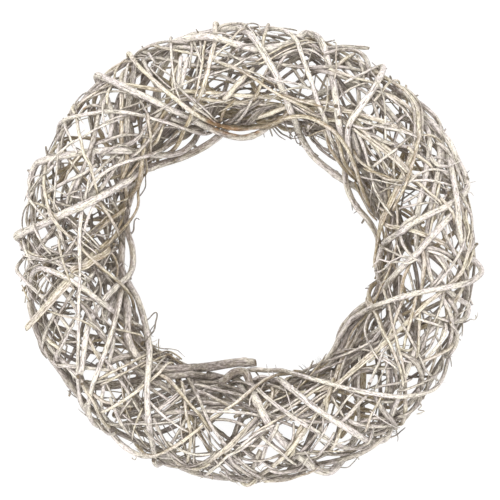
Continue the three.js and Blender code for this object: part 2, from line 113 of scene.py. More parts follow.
# A split cane's form. A drift is a pair: its strength, and its spacing along the cane. A groove's place runs
# from -1 to 1 across the cane.
SPLIT_SIDES = 22
SPLIT_THICKNESS = 0.4
SPLIT_FLATNESS = 0.6
SPLIT_HEIGHT = 1.12
SPLIT_BULGE = 0.3
WIDE_SPLIT = 2.4
WIDE_GROOVES = (-0.36, 0.3)
NARROW_GROOVES = (0.05,)
GROOVE_PLACE_DRIFT = (0.12, 60)
GROOVE_STRENGTH = 0.8
GROOVE_STRENGTH_DRIFT = (0.3, 25)
GROOVE_REACH = 0.14
GROOVE_DEPTH = 0.55
# Painted shade in the grooves: how much less wash and how much lower a tone they have.
GROOVE_WASH_SHADE = 0.6
GROOVE_SHADE = 0.3
EDGE_DRIFT = (0.10, 11)
WIDTH_DRIFT = (0.07, 26)
HEIGHT_DRIFT = (0.14, 7)

# Cut ends: how far they slant, their worn edge, and the pith's ring and looks.
CUT_SLANT = 0.35
CUT_EDGE = 0.80
PITH_SHARE = 0.55
PITH_GRAIN = 0.6
CUT_WASH = 0.3
RIM_CUT = 0.4

# The strands between the frame's vines: how they are placed, and how they are moved off each other. Headings
# and their bend are in degrees from the way along the ring, and their drift is in radians.
STRAND_STEP = 6.0
ROUTE_STEP = 5.0
TUCK_LENGTH = 6.5
TUCK_DROP = 3.2
HEADINGS = (6, 86)
HEADING_BEND = 16
HEADING_DRIFT = (0.16, 45)
DEPTH_DRIFT = (1.2, 40)
SURFACING_CHANCE = 0.3
SURFACING_LENGTH = 26
SURFACING_RISE = 5
CANDIDATES = 28
ROUND_CELLS = 80
TURN_CELLS = 24
SIGHT_CELL = 1.2
SIGHT_CELLS = 360
CROWDED = 900.0
GAP_COST = 7.0
FILL_WORTH = 0.6
RELAX_ROUNDS = 100
PAIRS_EVERY = 14
NEAR = 11.5
OWN_SEGMENTS = 3
CLEARANCE = 0.1
OWN_PUSH = 0.5
FIXED_PUSH = 0.9
PUSH_SHARE = 1.3
ASIDE = 0.55
DRAWN_BACK_ROUNDS = 0.85
OFFSET_KEPT = 0.7
OFFSET_SHARED = 0.15
ASIDE_KEPT = 0.95
LIFT_KEPT = 0.985
STANDING_OUT = 1.2
TRACED_WIDTH = 0.84

# How far the loose ends of twigs may stand off the tube.
LOOSE_REACH = 6.0

# Whitewash and tone, both with painted shade in them. The wash is most on what lies at the outside, faces
# out of
# the tube and lies away from the hole: real whitewash, and painted shade on the flanks, deep in and round
# the hole. The tone is least on a strand's flanks and round the hole, which is painted shade.
WASH_DRIFT = (0.22, 40)
WASH_AND_SHADE_BY_DEPTH = 0.7
USUAL_DEPTH = 0.86
WASH_AND_SHADE_BY_FACING = 0.42
USUAL_FACING = 0.45
LEAST_FACING = -0.3
WASH_BY_REACH = 0.2
FLANK_SHADE = 0.5
FLANK_FACING = 0.6
HOLE_SIDE = 0.75
HOLE_SHADE = 0.3
HOLE_WASH_SHADE = 0.12
WASH_SPREAD = (-0.08, 0.10)
STRAND_WASH_SPREAD = (-0.12, 0.08)
STOUT_WASH = 0.06
TONES = (0.5, 1.0)
STOUT_TONES = (0.68, 0.95)
STRAND_TONES = (0.45, 1.0)

# Brown stains and bare bark that the photograph shows on the front: the pixel and the radius in pixels.
STAINS = [(210, 122, 5), (217, 126, 7), (226, 129, 8), (235, 131, 7), (245, 132, 5), (256, 131, 4),
          (84, 107, 4)]
STAIN_EDGE = 1.7


# Geometry of lines

def unit(v):
    return v / np.maximum(np.linalg.norm(v, axis=-1, keepdims=True), 1e-9)


def tangents(points):
    ahead = np.vstack([points[1:], points[-1:]])
    behind = np.vstack([points[:1], points[:-1]])
    return unit(ahead - behind)


def lengths_along(points):
    steps = np.linalg.norm(np.diff(points, axis=0), axis=1)
    return np.concatenate([[0.0], np.cumsum(steps)])


def resample(points, step, *others):
    """A smooth curve through the points at even steps, and each of the other per-point values along it."""
    points = np.asarray(points, float)
    padded = np.vstack([2 * points[0] - points[1], points, 2 * points[-1] - points[-2]])
    fine, places = [], []
    parts = 6
    for i in range(len(points) - 1):
        p0, p1, p2, p3 = padded[i:i + 4]
        for k in range(parts):
            t = k / parts
            fine.append(0.5 * (2 * p1 + (p2 - p0) * t + (2 * p0 - 5 * p1 + 4 * p2 - p3) * t ** 2
                               + (3 * p1 - p0 - 3 * p2 + p3) * t ** 3))
            places.append(i + t)
    fine.append(points[-1])
    places.append(len(points) - 1.0)
    fine, places = np.array(fine), np.array(places)
    along = lengths_along(fine)
    count = max(4, int(round(along[-1] / step)) + 1)
    at = np.linspace(0, along[-1], count)
    even = np.column_stack([np.interp(at, along, fine[:, k]) for k in range(3)])
    place = np.interp(at, along, places)
    stations = np.arange(len(points))
    carried = []
    for values in others:
        values = np.asarray(values, float)
        if values.ndim == 1:
            carried.append(np.interp(place, stations, values))
        else:
            columns = [np.interp(place, stations, values[:, k]) for k in range(values.shape[1])]
            carried.append(np.column_stack(columns))
    return (even, *carried)


def smoothed(line):
    inner = 0.25 * line[:-2] + 0.5 * line[1:-1] + 0.25 * line[2:]
    return np.vstack([line[:1], inner, line[-1:]])


def smooth_noise(at, spacing, rng):
    """Smooth noise from -1 to 1 along a line, with a new value each spacing."""
    count = int(at[-1] / spacing) + 4
    knots = rng.uniform(-1, 1, count)
    x = at / spacing + rng.uniform(0, 1)
    i = np.minimum(x.astype(int), count - 2)
    t = x - i
    t = t * t * (3 - 2 * t)
    return knots[i] * (1 - t) + knots[i + 1] * t


def drift_along(at, drift, rng):
    """Smooth noise along a line, from a pair of its strength and its spacing."""
    strength, spacing = drift
    return strength * smooth_noise(at, spacing, rng)


def hump(offset, reach):
    """A smooth hump, 1 at its middle."""
    return np.exp(-(offset / reach) ** 2)


def turns_round(sides):
    return np.arange(sides) / sides * TAU


def told_apart(points, cells_per_mm):
    """The first of each set of points that lie in one place, and each point's set."""
    cells = np.round(points * cells_per_mm).astype(np.int64)
    _, first, index = np.unique(cells, axis=0, return_index=True, return_inverse=True)
    return first, index.reshape(-1)


# Places on the wreath

def on_tube(angle, turn, depth):
    reach = RING_RADIUS + (HALF_WIDTH - depth) * math.cos(turn)
    height = (HALF_DEPTH - depth) * math.sin(turn)
    return CENTRE + np.array([reach * math.cos(angle), reach * math.sin(angle), height])


def from_middle(points):
    """The way out of the tube at each point, and how far out it lies: 1 at the outside."""
    off = points - CENTRE
    reach = np.hypot(off[..., 0], off[..., 1])
    across = reach - RING_RADIUS
    way = np.stack([across * off[..., 0] / reach, across * off[..., 1] / reach, off[..., 2]], axis=-1)
    distance = np.linalg.norm(way, axis=-1)
    return way / np.maximum(distance, 1e-6)[..., None], distance / HALF_WIDTH


def picture_point(x, y, depth):
    """The point of the wreath's front that the photograph shows at a pixel, sunk by depth."""
    east = (x - PICTURE_CENTRE[0]) * MM_PER_PIXEL
    north = (PICTURE_CENTRE[1] - y) * MM_PER_PIXEL
    reach = math.hypot(east, north)
    across = max(-1.0, min(1.0, (reach - RING_RADIUS) / (HALF_WIDTH - depth)))
    height = (HALF_DEPTH - depth) * math.sqrt(1 - across ** 2)
    return CENTRE + np.array([east, north, height])


# Reading the frame's vines

def read_vine(node):
    """A packed vine's stations: middles, half widths, half thicknesses and the way across its wide side."""
    mesh = node.data
    corners = np.array([node.matrix_world @ v.co for v in mesh.vertices]) / MM
    first, index = told_apart(corners, PACKED_CELLS_PER_MM)
    places = np.zeros((len(first), 3))
    places[index] = corners
    around = [set() for _ in first]
    for face in mesh.polygons:
        ring = [int(index[i]) for i in face.vertices]
        for a, b in zip(ring, ring[1:] + ring[:1]):
            around[a].add(b)
            around[b].add(a)

    def levels(start):
        seen, found = {start}, [[start]]
        while True:
            following = sorted({n for v in found[-1] for n in around[v]} - seen)
            if not following:
                return found
            seen.update(following)
            found.append(following)

    far = levels(0)[-1]
    for start in far + levels(far[0])[-1]:
        rings = levels(start)
        if len(rings[-1]) == 1 and len({len(r) for r in rings[1:-1]}) == 1:
            break
    sections = [places[r] for r in rings[1:-1]]
    middles = np.array([s.mean(0) for s in sections])
    if middles[0][0] > middles[-1][0]:
        middles, sections = middles[::-1], sections[::-1]
    wide, half_width, half_thick = [], [], []
    for section, middle, along in zip(sections, middles, tangents(middles)):
        spread = section - middle
        spread = spread - np.outer(spread @ along, along)
        way = np.linalg.svd(spread, full_matrices=False)[2][0]
        if wide and way @ wide[-1] < 0:
            way = -way
        wide.append(way)
        half_width.append(np.abs(spread @ way).max())
        half_thick.append(np.abs(spread @ np.cross(along, way)).max())
    return middles, np.array(half_width), np.array(half_thick), np.array(wide)


# Skins

class Skin:
    """Gathers the vertices, faces and attributes of one object."""

    def __init__(self):
        self.vertices, self.faces, self.flat = [], [], []
        self.grain, self.wash, self.tone, self.cut = [], [], [], []
        self.count = 0

    def add(self, rings, grain, wash, tone):
        """A tube from rings of points, rows by sides by 3, with a cap on each end."""
        rows, sides = rings.shape[:2]
        first = self.count
        self.vertices.append(rings.reshape(-1, 3))
        self.grain.append(grain.reshape(-1, 3))
        self.wash.append(wash.reshape(-1))
        self.tone.append(tone.reshape(-1))
        self.cut.append(np.zeros(rows * sides))
        self.count += rows * sides
        i, j = np.meshgrid(np.arange(rows - 1), np.arange(sides), indexing="ij")
        a = first + i * sides + j
        b = first + i * sides + (j + 1) % sides
        quads = np.stack([a, b, b + sides, a + sides], axis=-1).reshape(-1, 4)
        self.faces += quads.tolist()
        self.flat += [False] * len(quads)
        for row, turned in ((0, True), (rows - 1, False)):
            self.cap(rings[row], grain[row], tone[row].mean(), turned)

    def cap(self, ring, grain, tone, turned):
        """A cut end: a rim, a ring inside it and a middle, which is the dark pith."""
        sides = len(ring)
        middle = ring.mean(0)
        inner = middle + PITH_SHARE * (ring - middle)
        start = self.count
        self.vertices.append(np.vstack([ring, inner, middle[None]]))
        self.grain.append(np.vstack([grain, grain * PITH_GRAIN, grain.mean(0)[None]]))
        self.wash.append(np.full(2 * sides + 1, CUT_WASH))
        self.tone.append(np.concatenate([np.full(2 * sides, tone), [0.0]]))
        self.cut.append(np.concatenate([np.full(sides, RIM_CUT), np.ones(sides + 1)]))
        self.count += 2 * sides + 1
        for j in range(sides):
            k = (j + 1) % sides
            rim = [start + j, start + k, start + sides + k, start + sides + j]
            fan = [start + sides + j, start + sides + k, start + 2 * sides]
            self.faces += [rim[::-1], fan[::-1]] if turned else [rim, fan]
            self.flat += [True, True]

    def make(self, name, material, slot, nodes=()):
        """Makes the object, rides it on the root, and hides the nodes that it replaces. Its slot is not
        used.
        """
        vertices = np.vstack(self.vertices)
        # A cap's rim lies on the tube's last ring, and one closed surface needs them joined.
        first, index = told_apart(vertices, SKIN_CELLS_PER_MM)
        faces, flat = [], []
        for face, is_flat in zip(self.faces, self.flat):
            joined = [int(index[v]) for v in face]
            if len(set(joined)) == len(joined):
                faces.append(joined)
                flat.append(is_flat)
        mesh = bpy.data.meshes.new(name)
        mesh.from_pydata((vertices[first] * MM).tolist(), [], faces)
        mesh.polygons.foreach_set("use_smooth", [not f for f in flat])
        stain = stain_of(vertices)
        for label, rows in (("wash", self.wash), ("tone", self.tone), ("cut", self.cut), ("stain", [stain])):
            layer = mesh.attributes.new(label, "FLOAT", "POINT")
            layer.data.foreach_set("value", np.concatenate(rows)[first].astype(np.float32))
        layer = mesh.attributes.new("grain", "FLOAT_VECTOR", "POINT")
        layer.data.foreach_set("vector", np.vstack(self.grain)[first].astype(np.float32).reshape(-1))
        mesh.materials.append(material)
        mesh.update()
        piece = bpy.data.objects.new(name, mesh)
        bpy.context.scene.collection.objects.link(piece)
        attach(piece, "root")
        if nodes:
            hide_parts(*nodes)
        return piece


def joints_along(length, rng):
    """Where a vine's joints lie along it."""
    places = [rng.uniform(JOINT_FROM_END, JOINT_SPACING[0])]
    while places[-1] < length - JOINT_FROM_END:
        places.append(places[-1] + rng.uniform(*JOINT_SPACING))
    return np.array(places[:-1])


def round_form(at, turns, joints, rng, roughness):
    """How far a round vine's skin stands out, as shares of its radius: lumps, flutes, joints and scars."""
    form = np.ones((len(at), len(turns)))
    for _ in range(LUMP_WAVES):
        around = rng.integers(0, 5)
        phase = rng.uniform(0, TAU) + LUMP_TWIST * smooth_noise(at, rng.uniform(*TWIST_SPACING), rng)
        strength = smooth_noise(at, rng.uniform(*LUMP_SPACING), rng)
        form += roughness * LUMP_HEIGHT * strength[:, None] * np.cos(around * turns[None] + phase[:, None])
    form += roughness * GIRTH_DRIFT * smooth_noise(at, GIRTH_SPACING, rng)[:, None]
    for joint in joints:
        past = at - joint
        scar = hump(past - SCAR_PLACE, SCAR_REACH)[:, None]
        facing = np.maximum(0, np.cos(turns - rng.uniform(0, TAU)))[None] ** 3
        swelling = rng.uniform(*JOINT_HEIGHT) * hump(past, JOINT_REACH)
        crease = CREASE_DEPTH * hump(past - CREASE_PLACE, CREASE_REACH)
        form += (swelling - crease)[:, None] + SCAR_HEIGHT * roughness * scar * facing
    return form


def zigzag(at, joints, much, rng):
    """A small sideways swing in millimetres that bends at the joints and is none at the ends."""
    corners = np.concatenate([[0], joints, [at[-1]]])
    swings = np.concatenate([[0], rng.uniform(-1, 1, len(joints)), [0]])
    ease = np.minimum(1, np.minimum(at, at[-1] - at) / SWING_EASE)
    free = ease * FREE_SWING * smooth_noise(at, FREE_SWING_SPACING, rng)
    return much * (JOINT_SWING * np.interp(at, corners, swings) + free)


def wash_and_tone(points, normals, base, tone, at, rng):
    """How much of the whitewash a surface has, and how light it is. Both are most on what faces out, partly
    as painted shade.
    """
    out, share = from_middle(points)
    facing = (out * normals).sum(-1)
    drift = drift_along(at, WASH_DRIFT, rng)[:, None]
    outward = (np.hypot(points[..., 0] - CENTRE[0], points[..., 1] - CENTRE[1]) - RING_RADIUS) / HALF_WIDTH
    wash = (base + drift + WASH_AND_SHADE_BY_DEPTH * (share - USUAL_DEPTH)
            + WASH_AND_SHADE_BY_FACING * (np.maximum(facing, LEAST_FACING) - USUAL_FACING) + WASH_BY_REACH * outward)
    # The strands round the hole are the greyest: painted shade, with less wash and a lower tone.
    in_hole = np.clip((-outward - HOLE_SIDE) / (1 - HOLE_SIDE), 0, 1)
    # Painted shade: the tone is lowered on a strand's flanks.
    flank = np.minimum(np.abs(facing), FLANK_FACING) - FLANK_FACING
    tone = tone + FLANK_SHADE * flank - HOLE_SHADE * in_hole
    return np.clip(wash - HOLE_WASH_SHADE * in_hole, 0, 1), np.clip(tone, 0, 1)


def stain_of(points):
    """How stained each point is, by the nearest of the stains as seen from straight above."""
    stain = np.zeros(len(points))
    for x, y, radius in STAINS:
        off = np.linalg.norm(points[:, :2] - picture_point(x, y, 0)[:2], axis=1) / (radius * MM_PER_PIXEL)
        stain = np.maximum(stain, np.clip(STAIN_EDGE - STAIN_EDGE * off, 0, 1))
    return stain * (points[:, 2] > CENTRE[2])


def spokes_along(run, turns):
    """Unit vectors square to the line at each station, carried along it without twist."""
    normal = unit(np.cross(run[0], np.eye(3)[np.abs(run[0]).argmin()]))
    normals = []
    for way in run:
        normal = unit(normal - (normal @ way) * way)
        normals.append(normal)
    normals = np.array(normals)
    side = np.cross(run, normals)
    return np.cos(turns)[None, :, None] * normals[:, None] + np.sin(turns)[None, :, None] * side[:, None]


def finish_rings(rings, line, run, rng):
    """Cuts each end a little aslant, with its edge worn round, and keeps the skin above the floor."""
    for row, sign in ((0, 1), (len(rings) - 1, -1)):
        for near, share in ((row, CUT_EDGE), (row + sign, (1 + CUT_EDGE) / 2)):
            rings[near] = line[near] + share * (rings[near] - line[near])
        across = (rings[row] - line[row]) @ unit(rng.normal(size=3))
        rings[row] += sign * CUT_SLANT * (across - across.min())[:, None] * run[row]
    rings[..., 2] = np.maximum(rings[..., 2], 0.0)


def grain_of(across, up, at, rng):
    """Coordinates that follow a skin, each skin's at a random place in the bark's pattern."""
    along = np.repeat(at[:, None], across.shape[1], 1)
    return np.stack([across, up, along], axis=-1) + rng.uniform(0, GRAIN_SPREAD)


def sides_for(radius):
    return next(sides for least, sides in SIDES_FROM if radius > least)


def lay_round(skin, line, radius, rng, base, tone, roughness=1.0, sides=None, taper=(1, 1)):
    """A round vine along a line of even steps. The radius is one value, or one a point."""
    at = lengths_along(line)
    radius = np.broadcast_to(radius, at.shape) * np.linspace(*taper, len(at))
    turns = turns_round(sides or sides_for(radius.max()))
    joints = joints_along(at[-1], rng)
    out, _ = from_middle(line)
    run = tangents(line)
    swing = roughness * min(MOST_SWING, LEAST_SWING + SWING_PER_RADIUS * radius.max())
    line = line + out * OUT_SWING * zigzag(at, joints, swing, rng)[:, None]
    line = line + np.cross(run, out) * zigzag(at, joints, swing, rng)[:, None]
    run = tangents(line)
    spokes = spokes_along(run, turns)
    form = round_form(at, turns, joints, rng, roughness)
    rings = line[:, None] + spokes * (form * radius[:, None])[..., None]
    finish_rings(rings, line, run, rng)
    grain = grain_of(np.cos(turns)[None] * radius[:, None], np.sin(turns)[None] * radius[:, None], at, rng)
    skin.add(rings, grain, *wash_and_tone(rings, spokes, base, tone, at, rng))


def lay_split(skin, line, half_width, half_thick, wide, rng, base, tone):
    """A split cane: a flat strip with rounded edges and grooves along it."""
    at = lengths_along(line)
    run = tangents(line)
    wide = unit(wide - (wide * run).sum(-1, keepdims=True) * run)
    thick = np.cross(run, wide)
    out, _ = from_middle(line)
    thick = thick * np.where((thick * out).sum(-1, keepdims=True) < 0, -1.0, 1.0)
    turns = turns_round(SPLIT_SIDES)
    across, up = np.cos(turns), np.sin(turns)
    flatter = np.sign(up) * np.abs(up) ** SPLIT_FLATNESS
    grooves = np.zeros((len(at), SPLIT_SIDES))
    for place in WIDE_GROOVES if half_width.max() > WIDE_SPLIT else NARROW_GROOVES:
        middle = place + drift_along(at, GROOVE_PLACE_DRIFT, rng)
        strength = GROOVE_STRENGTH + drift_along(at, GROOVE_STRENGTH_DRIFT, rng)
        grooves += strength[:, None] * hump(across[None] - middle[:, None], GROOVE_REACH)
    edge = 1 + drift_along(at, EDGE_DRIFT, rng)[:, None] * np.sign(across)[None]
    swell = 1 + drift_along(at, WIDTH_DRIFT, rng)
    height = flatter[None] * (1 - GROOVE_DEPTH * grooves) * (1 + drift_along(at, HEIGHT_DRIFT, rng)[:, None])
    rings = (line[:, None]
             + wide[:, None] * (across[None] * edge * (half_width * swell)[:, None])[..., None]
             + thick[:, None] * (height * (half_thick * SPLIT_HEIGHT)[:, None])[..., None])
    finish_rings(rings, line, run, rng)
    normals = unit(wide[:, None] * (across * SPLIT_BULGE)[None, :, None]
                   + thick[:, None] * up[None, :, None])
    grain = grain_of(across[None] * half_width[:, None], up[None] * half_thick[:, None], at, rng)
    wash, tones = wash_and_tone(rings, normals, base, tone, at, rng)
    # Painted shade in the grooves on top: less wash and a lower tone.
    in_groove = grooves * (up[None] > 0)
    wash = np.clip(wash - GROOVE_WASH_SHADE * in_groove, 0, 1)
    skin.add(rings, grain, wash, np.clip(tones - GROOVE_SHADE * in_groove, 0, 1))


def lay_split_strand(skin, line, half_width, rng, base, tone):
    """A split cane that lies flat on the tube."""
    wide = unit(np.cross(tangents(line), from_middle(line)[0]))
    lay_split(skin, line, half_width, half_width * SPLIT_THICKNESS, wide, rng, base, tone)


# Materials

# Each slot's bark, dark and light, its whitewash and its cracks, as 8-bit sRGB, and how much wash is left.
BARKS = {
    "white_vine": ((148, 138, 128), (196, 187, 177), (241, 236, 230), (100, 90, 80)),
    "grey_vine": ((140, 132, 124), (187, 179, 171), (224, 218, 211), (88, 79, 71)),
    "tan_cane": ((164, 148, 122), (211, 199, 175), (237, 231, 218), (118, 101, 78)),
    "core_vine": ((138, 130, 122), (184, 176, 168), (217, 210, 203), (80, 72, 65)),
}
BASES = {"white_vine": 0.60, "grey_vine": 0.42, "tan_cane": 0.48, "core_vine": 0.40}

# What all barks share: rust and cut wood, dark and light, and the whitewash where it is dusty or fresh.
RUST = ((142, 104, 68), (190, 152, 112))
CUT_WOOD = ((112, 92, 70), (206, 188, 158))
DUSTY = 0.71
FRESH = 0.4

# What the colour is multiplied by: from a little lilac to a little yellow, and from dark to light by the
# tone, whose dark end also holds painted shade.
TINTS = ((0.99, 0.955, 0.975, 1), (1.0, 0.985, 0.915, 1))
SHADES = ((0.62, 0.60, 0.58, 1), (1.07, 1.07, 1.065, 1))

BUMP_DEPTH = 0.7
ROUGHNESS = (0.72, 0.93)
SPECULAR = 0.25


def node_maker(material):
    """A function that adds a node to the material, with its inputs and settings."""
    material.use_nodes = True
    tree = material.node_tree
    tree.nodes.clear()

    def add(kind, inputs=(), **settings):
        node = tree.nodes.new(kind)
        for key, value in settings.items():
            setattr(node, key, value)
        for key, value in dict(inputs).items():
            socket = node.inputs[key] if isinstance(key, int) else next(
                s for s in node.inputs if key in (s.identifier, s.name))
            if isinstance(value, bpy.types.NodeSocket):
                tree.links.new(value, socket)
            else:
                socket.default_value = value
        return node
    return add


def srgb(red, green, blue):
    """A colour given as 8-bit sRGB, as linear RGBA."""
    def linear(value):
        value /= 255
        return value / 12.92 if value <= 0.04045 else ((value + 0.055) / 1.055) ** 2.4
    return (linear(red), linear(green), linear(blue), 1)


def bark_material(name, dark, light, paint, groove):
    """Bark with fibres along the vine, under whitewash that has worn off in patches and along the fibres."""
    material = bpy.data.materials.new(name)
    add = node_maker(material)
    grain = add("ShaderNodeAttribute", attribute_name="grain").outputs["Vector"]
    wash, tone, cut, stain = (add("ShaderNodeAttribute", attribute_name=label).outputs["Fac"]
                              for label in ("wash", "tone", "cut", "stain"))

    def noise(across, along, detail, rough):
        """A noise that is so fine across the vine and along it."""
        moved = add("ShaderNodeMapping", {"Vector": grain, "Scale": (across, across, along)})
        return add("ShaderNodeTexNoise", {"Vector": moved.outputs["Vector"], "Scale": 1.0, "Detail": detail,
                                          "Roughness": rough}).outputs["Fac"]

    def maths(operation, a, b):
        return add("ShaderNodeMath", {0: a, 1: b}, operation=operation).outputs[0]

    def swing(value, much):
        """A noise centred on zero, scaled."""
        return maths("MULTIPLY", maths("SUBTRACT", value, 0.5), much)

    def spread(value, low, high):
        """From none to full as the value goes from low to high."""
        return add("ShaderNodeMapRange", {"Value": value, "From Min": low, "From Max": high},
                   interpolation_type="SMOOTHSTEP").outputs["Result"]

    def mix(factor, a, b, blend="MIX"):
        node = add("ShaderNodeMix", {"Factor_Float": factor, "A_Color": a, "B_Color": b}, data_type="RGBA",
                   blend_type=blend)
        return next(s for s in node.outputs if s.identifier == "Result_Color")

    def overlaid(colour, other, where, strength):
        """The colour, and over it the other one at most by strength."""
        return mix(maths("MULTIPLY", where, strength), colour, other)

    fibre = noise(across=1.25, along=0.2, detail=5, rough=0.75)
    patch = noise(across=0.36, along=0.13, detail=4, rough=0.62)
    dab = noise(across=0.9, along=0.3, detail=5, rough=0.8)
    fine = noise(across=2.6, along=0.8, detail=3, rough=0.7)
    hue = noise(across=0.16, along=0.07, detail=3, rough=0.6)
    crack = spread(noise(across=1.2, along=0.08, detail=3, rough=0.6), low=0.56, high=0.63)
    speck = spread(noise(across=1.25, along=0.4, detail=1, rough=0.5), low=0.57, high=0.62)
    fleck = spread(noise(across=1.2, along=0.35, detail=1, rough=0.5), low=0.55, high=0.61)

    bark = mix(spread(fibre, low=0.38, high=0.62), dark, light)
    bark = overlaid(bark, groove, spread(fine, low=0.35, high=0.7), strength=0.4)
    worn = maths("ADD", swing(patch, much=1.2), swing(fibre, much=1.8))
    # The wash mask holds painted shade too, so flanks, deep strands and the hole's side show more bark.
    painted = spread(maths("ADD", wash, worn), low=0.26, high=0.68)
    dusty = tuple(DUSTY * channel for channel in paint[:3]) + (1,)
    fresh = tuple(FRESH + (1 - FRESH) * channel for channel in paint[:3]) + (1,)
    coat = mix(spread(dab, low=0.40, high=0.55), dusty, paint)
    colour = overlaid(bark, coat, painted, strength=0.95)
    rust = mix(spread(fibre, low=0.40, high=0.60), *(srgb(*shade) for shade in RUST))
    colour = overlaid(colour, rust, stain, strength=0.85)
    colour = overlaid(colour, fresh, fleck, strength=0.35)
    colour = overlaid(colour, groove, crack, strength=0.7)
    colour = overlaid(colour, groove, speck, strength=0.5)
    # Old whitewash is in places a little yellow and in places a little lilac.
    colour = mix(1.0, colour, mix(spread(hue, low=0.40, high=0.60), *TINTS), "MULTIPLY")
    colour = mix(cut, colour, mix(fine, *(srgb(*shade) for shade in CUT_WOOD)))
    # The tone darkens the colour: each strand's own lightness, and painted shade on flanks, in grooves and
    # round the hole.
    colour = mix(1.0, colour, mix(tone, *SHADES), "MULTIPLY")

    height = maths("ADD", swing(fibre, much=0.8), swing(fine, much=0.45))
    height = maths("ADD", height, swing(dab, much=0.7))
    height = maths("ADD", height, maths("MULTIPLY", painted, 0.12))
    height = maths("SUBTRACT", height, maths("MULTIPLY", crack, 0.35))
    height = maths("SUBTRACT", height, maths("MULTIPLY", speck, 0.2))
    bump = add("ShaderNodeBump", {"Height": height, "Strength": 1.0, "Distance": BUMP_DEPTH * MM})
    rough = add("ShaderNodeMapRange", {"Value": painted, "To Min": ROUGHNESS[0], "To Max": ROUGHNESS[1]})
    shader = add("ShaderNodeBsdfPrincipled", {"Base Color": colour, "Roughness": rough.outputs["Result"],
                                              "Normal": bump.outputs["Normal"],
                                              "Specular IOR Level": SPECULAR})
    add("ShaderNodeOutputMaterial", {"Surface": shader.outputs["BSDF"]})
    return material


MATERIALS = {slot: bark_material(slot, *(srgb(*colour) for colour in colours))
             for slot, colours in BARKS.items()}


# The frame's vines, each with its finer skin

vines = []
for name in sorted(frame["nodes"]):
    middles, half_width, half_thick, wide = read_vine(frame["nodes"][name])
    slot = next(row["material_slot"] for row in frame["record"]["subparts"] if row["node"] == name)
    rng = np.random.default_rng(sum(map(ord, name)) * 31)
    is_split = name.startswith("split_cane")
    size = SPLIT_SHARE if is_split else ROUND_SHARE
    line, widths, thicks, ways = resample(middles, SKIN_STEP, half_width * size, half_thick * size, wide)
    radius = (widths + thicks) / 2
    skin = Skin()
    # The stoutest vines are the most evenly painted.
    is_stout = name.startswith("thick_vine")
    tone = rng.uniform(*(STOUT_TONES if is_stout else TONES))
    base = BASES[slot] + rng.uniform(*WASH_SPREAD) + STOUT_WASH * is_stout
    if is_split:
        lay_split(skin, line, widths, thicks, ways, rng, base, tone)
    else:
        lay_round(skin, line, radius, rng, base, tone, VINE_ROUGHNESS)
    skin.make(name + "_bark", MATERIALS[slot], slot, [name])
    vines.append((line, radius))
